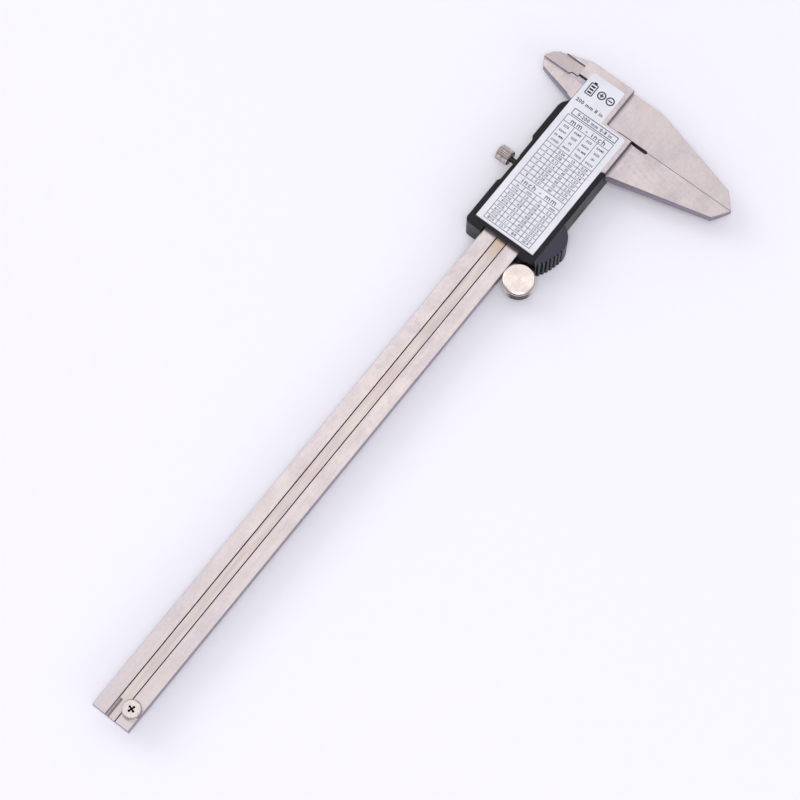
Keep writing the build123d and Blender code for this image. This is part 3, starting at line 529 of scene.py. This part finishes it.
def plated(name, colour, roughness, stain):
    """Bright plating on a small turned or pressed part: it shines, with cloudy handling stains."""
    material, tree, shader = finish(name, colour, roughness, metallic=1.0)
    stains = grain(tree, (1.2,) * 3, detail=3.0)
    share = node(tree, "MapRange", {"Value": stains, "From Min": 0.4, "From Max": 0.75, "To Max": 0.8})
    wire(tree, shader, {
        "Base Color": node(tree, "Mix", {0: share, 6: colour, 7: stain}, data_type="RGBA"),
        "Roughness": node(tree, "MapRange", {
            "Value": stains, "From Min": 0.3, "From Max": 0.7, "To Min": roughness, "To Max": roughness * 1.7,
        }),
        "Normal": node(tree, "Bump", {
            "Strength": 0.15, "Distance": 0.01 * MM, "Height": grain(tree, (0.25,) * 3),
        }),
    })
    return material


def crosshead_nickel():
    """Nickel plate on the stop screw: bright and stained, with painted shade: black in its recess and dark on
    its rim.
    """
    material, tree, shader = finish("shaded_nickel_plate", "#D9CFC8", 0.25, metallic=1.0)
    stains = grain(tree, (0.8,) * 3, detail=3.0)
    share = node(tree, "MapRange", {"Value": stains, "From Min": 0.35, "From Max": 0.7, "To Max": 0.6})
    plate = node(tree, "Mix", {0: share, 6: "#E2D9D2", 7: "#C9BEB8"}, data_type="RGBA")
    _, reach = about_axis(tree, STOP_CENTRE)
    # painted shade: the cross recess, below the crown, is painted black and rough
    core = node(tree, "Math", {0: reach, 1: DRIVER_REACH * MM}, operation="LESS_THAN")
    height = node(tree, "SeparateXYZ", {0: node(tree, "TexCoord").outputs["Object"]}).outputs["Z"]
    sunk = node(tree, "Math", {0: height, 1: DATUM[2] + (STOP_CROWN_Z - 0.08) * MM}, operation="LESS_THAN")
    recess_shade = node(tree, "Math", {0: core, 1: sunk}, operation="MULTIPLY")
    # painted shade: the head's rim walls are painted dark
    plate = node(tree, "Mix", {0: on_walls(tree, 0.1, 0.5), 6: plate, 7: "#2C2624"}, data_type="RGBA")
    wire(tree, shader, {
        "Base Color": node(tree, "Mix", {0: recess_shade, 6: plate, 7: "#0E0B0B"}, data_type="RGBA"),
        "Roughness": node(tree, "MapRange", {"Value": recess_shade, "To Min": 0.25, "To Max": 0.7}),
        "Normal": node(tree, "Bump", {"Strength": 0.1, "Distance": 0.01 * MM, "Height": stains}),
    })
    return material


def moulded_abs(name, colour, lighter, roughness, grain_mm, sheen_box=None):
    """ABS from a spark-eroded mould: a fine even grain, dust specks and paler rubbed patches.

    The box, if given, is a place painted paler and lavender: a painted sheen on the
    thumb rest's top. The grain and the specks are drawn several times too coarse,
    so that they show.
    """
    material, tree, shader = finish(name, colour, roughness, **{"Specular IOR Level": 0.3})
    rubbed = grain(tree, (7.0,) * 3, detail=3.0)
    share = node(tree, "MapRange", {"Value": rubbed, "From Min": 0.4, "From Max": 0.7})
    worn = node(tree, "Mix", {0: share, 6: colour, 7: lighter}, data_type="RGBA")
    if sheen_box:
        # painted sheen: the thumb rest's top is painted paler and lavender, where its slope would catch the
        # light
        worn = node(tree, "Mix", {0: inside_box(tree, *sheen_box), 6: worn, 7: "#3C3946"}, data_type="RGBA")
    dust = grain(tree, (0.45,) * 3, detail=1.0)
    specks = node(tree, "MapRange", {"Value": dust, "From Min": 0.72, "From Max": 0.78, "To Max": 0.5})
    wire(tree, shader, {
        "Base Color": node(tree, "Mix", {0: specks, 6: worn, 7: "#8C8890"}, data_type="RGBA"),
        "Roughness": node(tree, "MapRange", {
            "Value": rubbed, "From Min": 0.3, "From Max": 0.7,
            "To Min": roughness * 1.15, "To Max": roughness * 0.8,
        }),
        "Normal": node(tree, "Bump", {
            "Strength": 0.35, "Distance": 0.03 * MM, "Height": grain(tree, (grain_mm,) * 3),
        }),
    })
    return material


def silver_foil():
    """Self-adhesive polyester with a satin aluminium layer: pale, slightly cloudy, faintly rolled."""
    material, tree, shader = finish("satin_silver_foil", "#E4E4E9", 0.42, metallic=0.75)
    rolled = grain(tree, (30.0, 0.3, 30.0))
    clouds = grain(tree, (12.0, 9.0, 12.0), detail=3.0)
    share = node(tree, "MapRange", {"Value": clouds, "From Min": 0.35, "From Max": 0.65})
    wire(tree, shader, {
        "Base Color": node(tree, "Mix", {0: share, 6: "#E0E1E5", 7: "#E9E9ED"}, data_type="RGBA"),
        "Roughness": node(tree, "MapRange", {
            "Value": rolled, "From Min": 0.3, "From Max": 0.7, "To Min": 0.38, "To Max": 0.5,
        }),
        "Normal": node(tree, "Bump", {"Strength": 0.2, "Distance": 0.02 * MM, "Height": clouds}),
    })
    return material


def screen_ink(name, colour, thinner):
    """Screen-printed ink: matt, and slightly thin in places."""
    material, tree, shader = finish(name, colour, 0.55)
    thin = grain(tree, (0.5,) * 3)
    share = node(tree, "MapRange", {"Value": thin, "From Min": 0.45, "From Max": 0.8})
    wire(tree, shader, {
        "Base Color": node(tree, "Mix", {0: share, 6: colour, 7: thinner}, data_type="RGBA"),
        "Roughness": node(tree, "MapRange", {
            "Value": thin, "From Min": 0.3, "From Max": 0.7, "To Min": 0.5, "To Max": 0.62,
        }),
    })
    return material


def printed_film(name, colour, lighter, streak_cell):
    """Polyester film with a brushed print under a clear skin: fine straight streaks, softly glossy."""
    material, tree, shader = finish(name, colour, 0.3, **{"Coat Weight": 0.4, "Coat Roughness": 0.2})
    streaks = grain(tree, streak_cell, detail=3.0)
    share = node(tree, "MapRange", {"Value": streaks, "From Min": 0.35, "From Max": 0.65})
    wire(tree, shader, {
        "Base Color": node(tree, "Mix", {0: share, 6: colour, 7: lighter}, data_type="RGBA"),
        "Roughness": node(tree, "MapRange", {
            "Value": streaks, "From Min": 0.3, "From Max": 0.7, "To Min": 0.28, "To Max": 0.4,
        }),
        "Normal": node(tree, "Bump", {"Strength": 0.1, "Distance": 0.01 * MM, "Height": streaks}),
    })
    return material


def solder_mask():
    """Glass-epoxy board under green lacquer: glossy, with copper tracks showing through paler."""
    material, tree, shader = finish("green_solder_mask", "#0F4D2B", 0.3, **{"Coat Weight": 0.3})
    tracks = node(tree, "TexVoronoi", {
        "Vector": node(tree, "TexCoord").outputs["Object"], "Scale": 1 / (1.6 * MM),
    }, distance="MANHATTAN")
    lines = node(tree, "MapRange", {"Value": tracks, "From Min": 0.32, "From Max": 0.38})
    wire(tree, shader, {
        "Base Color": node(tree, "Mix", {0: lines, 6: "#0F4D2B", 7: "#2C7A47"}, data_type="RGBA"),
        "Roughness": node(tree, "MapRange", {"Value": lines, "To Min": 0.28, "To Max": 0.4}),
        "Normal": node(tree, "Bump", {"Strength": 0.3, "Distance": 0.03 * MM, "Height": lines}),
    })
    return material


def reflective_display():
    """Liquid crystal over a grey-green reflector: a faint grain under polished glass."""
    material, tree, shader = finish(
        "reflective_liquid_crystal", "#AEB8A6", 0.45, **{"Coat Weight": 1.0, "Coat Roughness": 0.05})
    speckle = grain(tree, (0.2,) * 3, detail=1.0)
    share = node(tree, "MapRange", {"Value": speckle, "From Min": 0.3, "From Max": 0.7})
    wire(tree, shader, {
        "Base Color": node(tree, "Mix", {0: share, 6: "#A7B19E", 7: "#B6BFAE"}, data_type="RGBA"),
        "Roughness": node(tree, "MapRange", {
            "Value": speckle, "From Min": 0.3, "From Max": 0.7, "To Min": 0.4, "To Max": 0.5,
        }),
    })
    return material


def clear_acrylic():
    """Cast acrylic window: clear and glossy, with faint wipe marks that dull the gloss."""
    material, tree, shader = finish(
        "cast_clear_acrylic", "#F4FAF9", 0.04, IOR=1.49, **{"Transmission Weight": 1.0})
    wipes = grain(tree, (6.0, 0.8, 6.0), detail=3.0, turn=25)
    wire(tree, shader, {"Roughness": node(tree, "MapRange", {
        "Value": wipes, "From Min": 0.4, "From Max": 0.8, "To Min": 0.03, "To Max": 0.12,
    })})
    return material


def moulded_rubber():
    """Carbon-filled silicone: dull black with a powdery bloom."""
    material, tree, shader = finish("moulded_silicone_rubber", "#1E1E20", 0.7)
    bloom = grain(tree, (0.8,) * 3)
    share = node(tree, "MapRange", {"Value": bloom, "From Min": 0.4, "From Max": 0.7})
    wire(tree, shader, {
        "Base Color": node(tree, "Mix", {0: share, 6: "#1B1B1D", 7: "#343437"}, data_type="RGBA"),
        "Roughness": node(tree, "MapRange", {
            "Value": bloom, "From Min": 0.3, "From Max": 0.7, "To Min": 0.62, "To Max": 0.8,
        }),
    })
    return material


def studio_paper():
    """Seamless paper: matt, nearly white, very slightly cool, with faint fibres."""
    material, tree, shader = finish("white_seamless_paper", "#F3F2F5", 0.9)
    fibres = grain(tree, (3.0,) * 3)
    wire(tree, shader, {
        "Base Color": node(tree, "Mix", {0: fibres, 6: "#F3F2F5", 7: "#F5F4F7"}, data_type="RGBA"),
    })
    return material


ink = screen_ink("black_screen_ink", "#17161A", "#3C3B40")
white_ink = screen_ink("white_screen_ink", "#E8E8E6", "#CFCFCD")
# each steel's last tone is its side walls' colour: a darker lavender, partly painted shade
beam_steel = ground_stainless(
    "belt_ground_stainless_beam", (45.0, 0.5, 0.5), 0, ("#D6CCCB", "#C3B9B8", "#D8CCC4", "#8F8793"),
    JAW_RELIEF, ROD_GROOVE)
jaw_steel = ground_stainless(
    "belt_ground_stainless_slider", (0.6, 26.0, 0.6), -12, ("#D6CCCB", "#C1B7B6", "#DACDC4", "#8F8793"),
    DULL_JAW, INNER_RELIEF)
foil = silver_foil()
black_abs = moulded_abs("spark_textured_black_abs", "#0B090C", "#131015", 0.42, 0.3, THUMB_REST)
grey_abs = moulded_abs("moulded_grey_abs", "#9EA1A6", "#ACAFB3", 0.4, 0.4)
orange_abs = moulded_abs("moulded_orange_abs", "#D9701E", "#E07F33", 0.4, 0.4)
zinc_screw = plated("zinc_plated_steel", "#C9C9CC", 0.3, "#8E8A86")
spring_steel = plated("blued_spring_steel", "#A9A9AE", 0.3, "#7E7B7C")

FINISHES = {
    "beam_and_fixed_jaws": beam_steel,
    "slider_frame": jaw_steel,
    "stator_strip": solder_mask(),
    "ruler_foil": printed_film("brushed_silver_film", "#C9CBD0", "#DCDEE2", (40.0, 0.3, 0.3)),
    "stop_screw": crosshead_nickel(),
    "depth_rod": drawn_steel(),
    "thumb_roller": turned_nickel(),
    "lock_knob": plated("bright_nickel_plate", "#CBC0BC", 0.24, "#8F8480"),
    "lock_stud": plated("black_oxide_steel", "#4A4340", 0.35, "#2A2523"),
    "rod_screws": zinc_screw,
    "gib_screws": zinc_screw,
    "strip_screws": zinc_screw,
    "frame_screws": zinc_screw,
    "board_screws": zinc_screw,
    "arm_screw": zinc_screw,
    "roller_axle": zinc_screw,
    "gib_strip": plated("milled_brass", "#D9B872", 0.3, "#A88747"),
    "retaining_strips": spring_steel,
    "roller_arm": spring_steel,
    "battery_spring": spring_steel,
    "battery_side_contact": spring_steel,
    "battery_cell": plated("nickel_plated_can", "#CFCDCB", 0.25, "#A9A5A0"),
    "housing": black_abs,
    "battery_cover": black_abs,
    "front_panel": printed_film("graphite_printed_film", "#3A3C42", "#44464D", (30.0, 0.3, 0.3)),
    "display_window": clear_acrylic(),
    "lcd_glass": reflective_display(),
    "contact_rubbers": moulded_rubber(),
    "button_pad": moulded_rubber(),
    "circuit_board": solder_mask(),
    "sensor_board": solder_mask(),
    "processor_chip": moulded_abs("black_epoxy_drop", "#121214", "#1A1A1D", 0.2, 0.6),
    "unit_button": grey_abs,
    "power_button": grey_abs,
    "zero_button": orange_abs,
}
for name, material in FINISHES.items():
    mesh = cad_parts[name].data
    mesh.materials.clear()
    mesh.materials.append(material)


# -------------------------------------------------------------- back label

def label_sheet():
    """The foil: its outline, each corner rounded to its own radius, raised to its thickness."""
    corners = [
        (LABEL_REAR_X, LABEL_LOW_Y), (LABEL_END_X, LABEL_LOW_Y), (LABEL_END_X, LABEL_STEP_Y),
        (LABEL_FAR_X, LABEL_STEP_Y), (LABEL_FAR_X, LABEL_HIGH_Y), (LABEL_REAR_X, LABEL_HIGH_Y),
    ]
    return slab(rounded(corners, LABEL_RADII), LABEL_BASE_Z, LABEL_TOP_Z)


def rule(x0, x1, y0, y1):
    """One printed line or filled box on the label."""
    return (x0, x1, y0, y1, LABEL_TOP_Z, INK_TOP_Z)


def line_along(x0, x1, y, width=RULE_WIDTH):
    """A printed line along X, width wide, with its middle at y."""
    return rule(x0, x1, y - width / 2, y + width / 2)


def line_across(y0, y1, x, width=RULE_WIDTH):
    """A printed line along Y, width wide, with its middle at x."""
    return rule(x - width / 2, x + width / 2, y0, y1)


def table_rules():
    """The two tables' lines: column lines stop at the title bands, row lines cross the full width."""
    top, bottom = COLUMN_YS[0], COLUMN_YS[-1]
    lines = []
    for y in COLUMN_YS:
        lines.append(line_along(REAR_TABLE_X, SECOND_TITLE_X, y))
        lines.append(line_along(FRONT_TABLE_X, FIRST_TITLE_X, y))
    for y in (top, bottom):
        lines.append(line_along(SECOND_TITLE_X, FRONT_TABLE_X, y))
        lines.append(line_along(FIRST_TITLE_X, TABLE_END_X, y))
    xs = [REAR_TABLE_X + i * ROW_PITCH for i in range(REAR_ROWS + 1)]
    xs += [FRONT_TABLE_X + i * ROW_PITCH for i in range(FRONT_ROWS + 1)]
    xs += [FIRST_TITLE_X, TABLE_END_X]
    lines += [line_across(bottom, top, x) for x in xs]
    return lines


def framed_box(x0, x1, y0, y1, width):
    """Four lines round a rectangle."""
    return [
        line_along(x0, x1, y0, width), line_along(x0, x1, y1, width),
        line_across(y0, y1, x0, width), line_across(y0, y1, x1, width),
    ]


def battery_mark():
    """A plain battery: an outline, a terminal and three bars of charge."""
    _, top, low_y, high_y = BATTERY_CASE
    parts = framed_box(*BATTERY_CASE, BATTERY_STROKE)
    parts.append(rule(top, top + TERMINAL_HEIGHT, low_y + TERMINAL_INSET, high_y - TERMINAL_INSET))
    for x in CHARGE_XS:
        parts.append(rule(x, x + CHARGE_WIDTH, low_y + CHARGE_INSET, high_y - CHARGE_INSET))
    return parts


def cell_text():
    """The tables' words and numbers, worked out from the inch."""
    parts = []
    middles = (COLUMN_YS[:-1] + COLUMN_YS[1:]) / 2

    def cell(text, x, column, height=CELL_CAP):
        parts.append(lettering(text, x, middles[column], LABEL_TOP_Z, height, weight=0.03, spacing=1.08))

    for row in range(FRONT_ROWS):
        x = HEADING_X - (row + 0.5) * ROW_PITCH
        small, large = row + 1, (row + 1) * 10
        for column, text in enumerate((f"{small}", f"{small / INCH:.2f}", f"{large}", f"{large / INCH:.2f}")):
            cell(text, x, column)
    for row in range(REAR_ROWS):
        x = SECOND_TITLE_X - (row + 0.5) * ROW_PITCH
        texts = (f"{row}/16", f"{row / 16 * INCH:.1f}", f"{row}/8", f"{row / 8 * INCH:.1f}") if row else UNITS
        for column, text in enumerate(texts):
            cell(text, x, column)
    for column, lines in enumerate(HEADINGS):
        for row, text in enumerate(lines):
            cell(text, FIRST_TITLE_X - HEADING_DROP - row * HEADING_PITCH, column, HEADING_CAP)
    return parts


def titles():
    """The title bands, the range line and the class line."""
    middle = (COLUMN_YS[0] + COLUMN_YS[-1]) / 2
    first, second = (FIRST_TITLE_X + TABLE_END_X) / 2, (SECOND_TITLE_X + FRONT_TABLE_X) / 2
    range_x, range_y, range_cap = RANGE_LINE
    class_x, class_y, class_cap = CLASS_LINE
    return [
        lettering("mm - inch", first, middle, LABEL_TOP_Z, TITLE_CAP, weight=0.03, spacing=1.25),
        lettering("inch - mm", second, middle, LABEL_TOP_Z, TITLE_CAP, weight=0.03, spacing=1.25),
        lettering("0-200 mm 0-8 in", range_x, range_y, LABEL_TOP_Z, range_cap, weight=0.04, spacing=1.2),
        lettering("200 mm 8 in", class_x, class_y, LABEL_TOP_Z, class_cap, weight=0.05, spacing=1.15),
    ]


def polarity_marks():
    """A plus and a minus, each in a ring: the rings as parts of their own, the strokes as boxes."""
    rings = [
        ring_band((MARK_X, y), MARK_RADIUS, MARK_STROKE, LABEL_TOP_Z, INK_TOP_Z) for y in (PLUS_Y, MINUS_Y)
    ]
    arm, half = MARK_RADIUS * 0.6, MARK_STROKE / 2
    strokes = [rule(MARK_X - half, MARK_X + half, y - arm, y + arm) for y in (PLUS_Y, MINUS_Y)]
    strokes.append(rule(MARK_X - arm, MARK_X + arm, PLUS_Y - half, PLUS_Y + half))
    return rings, strokes


label = piece("label_sheet", [label_sheet()], foil, "slider")
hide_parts("back_label")
mark_rings, mark_strokes = polarity_marks()
range_box = framed_box(*RANGE_FRAME, RANGE_FRAME_WIDTH)
print_lines = bars(table_rules() + range_box + battery_mark() + mark_strokes)
piece("label_lines", [print_lines] + mark_rings, ink, "slider")
piece("label_text", cell_text() + titles(), ink, "slider", merge=True)


# ------------------------------------------------------------ display side

def graduations():
    """Millimetre lines along the scale's lower edge and inch lines along its upper edge.

    A line's length says what it counts: tens, fives or ones, and inches, halves, quarters or sixteenths.
    """
    half = RULER_STROKE / 2
    depth = (RULER_FACE_Z, RULER_FACE_Z - RULER_PRINT)
    lines = []
    ten, five, one = MM_LENGTHS
    for mm in range(RULER_LENGTH + 1):
        x = RULER_ZERO_X - mm
        length = ten if mm % 10 == 0 else five if mm % 5 == 0 else one
        lines.append((x - half, x + half, -RULER_HALF_WIDTH, -RULER_HALF_WIDTH + length, *depth))
    whole, half_inch, quarter, sixteenth = INCH_LENGTHS
    for step in range(int(RULER_LENGTH / INCH * 16) + 1):
        x = RULER_ZERO_X - step * INCH / 16
        if step % 8 == 0:
            length = whole if step % 16 == 0 else half_inch
        else:
            length = quarter if step % 4 == 0 else sixteenth
        lines.append((x - half, x + half, RULER_HALF_WIDTH, RULER_HALF_WIDTH - length, *depth))
    return bars(lines)


def ruler_numbers():
    """A number at every 10 mm and every inch."""
    parts = []
    for mm in range(10, RULER_LENGTH + 1, 10):
        x = RULER_ZERO_X - mm
        parts.append(lettering(f"{mm}", x, MM_NUMBER_Y, RULER_FACE_Z, MM_NUMBER_CAP, "front"))
    for inch in range(1, int(RULER_LENGTH / INCH) + 1):
        x = RULER_ZERO_X - inch * INCH - INCH_NUMBER_SHIFT
        parts.append(lettering(f"{inch}", x, INCH_NUMBER_Y, RULER_FACE_Z, INCH_NUMBER_CAP, "front"))
    return parts


def display_segments():
    """Six seven-segment digits, unlit: hexagonal bars on the glass."""
    depth = (LCD_FACE_Z, LCD_FACE_Z - SEGMENT_DEPTH)
    level, upright = DIGIT_WIDTH - SEGMENT_GAP, DIGIT_HEIGHT / 2 - SEGMENT_GAP
    parts = []
    for digit in range(DIGITS):
        cx = LCD_MIDDLE[0] + ((DIGITS - 1) / 2 - digit) * DIGIT_PITCH
        cy = LCD_MIDDLE[1]
        for dy in (-DIGIT_HEIGHT / 2, 0, DIGIT_HEIGHT / 2):
            parts.append(segment_bar((cx, cy + dy), level, SEGMENT_STROKE, False, *depth))
        for dx in (-DIGIT_WIDTH / 2, DIGIT_WIDTH / 2):
            for dy in (-DIGIT_HEIGHT / 4, DIGIT_HEIGHT / 4):
                parts.append(segment_bar((cx + dx, cy + dy), upright, SEGMENT_STROKE, True, *depth))
    return parts


def panel_print():
    """White print on the film: a frame round the display and a word or mark above each button."""
    depth = (PANEL_FACE_Z, PANEL_FACE_Z - PANEL_PRINT)
    low_x, high_x, low_y, high_y = PANEL_FRAME
    half = PANEL_STROKE / 2
    frame_lines = [(low_x, high_x, y - half, y + half, *depth) for y in (low_y, high_y)]
    frame_lines += [(x - half, x + half, low_y, high_y, *depth) for x in (low_x, high_x)]
    power_x, ring_radius, ring_stroke = BUTTON_XS["power"], 0.75, 0.22
    stem = (power_x - ring_stroke / 2, power_x + ring_stroke / 2, PANEL_WORD_Y, PANEL_WORD_Y + 1.0, *depth)
    return [
        bars(frame_lines),
        lettering("mm/in", BUTTON_XS["unit"], PANEL_WORD_Y, PANEL_FACE_Z, 1.3, "front", depth=PANEL_PRINT),
        lettering("0", BUTTON_XS["zero"], PANEL_WORD_Y, PANEL_FACE_Z, 1.5, "front", depth=PANEL_PRINT),
        ring_band((power_x, PANEL_WORD_Y), ring_radius, ring_stroke, *depth),
        bars([stem]),
    ]


def button_marks():
    """Printed on the crowns: two bars for units, a ring and bar for power, and a nought."""
    unit_x, power_x, zero_x = BUTTON_XS["unit"], BUTTON_XS["power"], BUTTON_XS["zero"]
    half, reach, spread, rise, nought_radius = 0.15, 1.2, 0.5, 1.6, 1.0
    pair = bars([
        (unit_x - reach, unit_x + reach, y - half, y + half, *BUTTON_MARK_Z)
        for y in (BUTTON_Y - spread, BUTTON_Y + spread)
    ])
    ring = ring_band((power_x, BUTTON_Y), reach, 2 * half, *BUTTON_MARK_Z)
    bar = bars([(power_x - half, power_x + half, BUTTON_Y, BUTTON_Y + rise, *BUTTON_MARK_Z)])
    nought = ring_band((zero_x, BUTTON_Y), nought_radius, 2 * half, *BUTTON_MARK_Z)
    return {"unit_button": [pair], "power_button": [ring, bar], "zero_button": [nought]}


def cover_arrow():
    """A raised arrowhead that shows which way the battery cover slides."""
    return slab(COVER_ARROW, *ARROW_Z)


for button, marks in button_marks().items():
    piece(f"{button}_mark", marks, white_ink, button)
piece("cover_arrow", [cover_arrow()], black_abs, "battery_cover")
piece("ruler_lines", [graduations()], ink, "beam")
piece("ruler_numbers", ruler_numbers(), ink, "beam", merge=True)
piece("panel_print", panel_print(), white_ink, "slider", merge=True)
segment_ink = screen_ink("unlit_segment", "#97A18F", "#9FA897")
piece("display_segments", display_segments(), segment_ink, "slider")


# ------------------------------------------------------- floor, light, camera

def floor():
    """The square of paper that the caliper lies on."""
    size = 2.5
    mesh = bpy.data.meshes.new("floor")
    corners = [(-size, -size, 0), (size, -size, 0), (size, size, 0), (-size, size, 0)]
    mesh.from_pydata(corners, [], [(0, 1, 2, 3)])
    made = bpy.data.objects.new("floor", mesh)
    mesh.materials.append(studio_paper())
    bpy.context.scene.collection.objects.link(made)


def softbox(name, position, size, power, colour):
    """A rectangular lamp that faces the caliper: its place and size in metres, its power in watts."""
    lamp = bpy.data.lights.new(name, "AREA")
    lamp.shape = "RECTANGLE"
    lamp.size, lamp.size_y = size
    lamp.energy = power
    lamp.color = linear(colour)[:3]
    made = bpy.data.objects.new(name, lamp)
    made.location = position
    made.rotation_euler = (-Vector(position)).to_track_quat("-Z", "Y").to_euler()
    bpy.context.scene.collection.objects.link(made)


def tent(strength, overhead, horizon):
    """Light from all round, as inside a cloth tent: one colour overhead, fading to another at the sides."""
    world = bpy.data.worlds.new("tent")
    bpy.context.scene.world = world
    world.use_nodes = True
    tree = world.node_tree
    height = node(tree, "SeparateXYZ", {0: node(tree, "TexCoord").outputs["Generated"]}).outputs["Z"]
    share = node(tree, "MapRange", {"Value": height, "From Min": 0.0, "From Max": 0.75})
    colour = node(tree, "Mix", {0: share, 6: horizon, 7: overhead}, data_type="RGBA")
    wire(tree, tree.nodes["Background"], {"Color": colour, "Strength": strength})


def camera():
    """A camera at its place, looking at its aim, turned until CAMERA_UP points up the frame."""
    view = bpy.data.cameras.new("camera")
    view.lens = CAMERA_LENS
    view.sensor_width = SENSOR_WIDTH
    view.clip_start = 0.01
    made = bpy.data.objects.new("camera", view)
    ahead = (CAMERA_AIM - CAMERA_PLACE).normalized()
    right = ahead.cross(CAMERA_UP).normalized()
    up = right.cross(ahead)
    turn = Matrix((right, up, -ahead)).transposed().to_4x4()
    made.matrix_world = Matrix.Translation(CAMERA_PLACE) @ turn
    bpy.context.scene.collection.objects.link(made)
    bpy.context.scene.camera = made


floor()
tent(0.78, "#E9E8F2", "#C6C3DA")
softbox("overhead_softbox", (0.68, 0.48, 2.48), (0.75, 1.3), 3.3, "#FFFDFC")
softbox("left_softbox", (-0.10, 1.72, 1.45), (1.3, 1.3), 9.5, "#FFFDFA")
softbox("right_softbox", (-0.20, -2.10, 1.30), (1.4, 0.8), 5.0, "#E9E6FA")
softbox("front_softbox", (-0.68, -0.52, 2.50), (1.0, 1.0), 21.0, "#FEFEFF")
camera()
bpy.context.scene.view_settings.view_transform = "Standard"
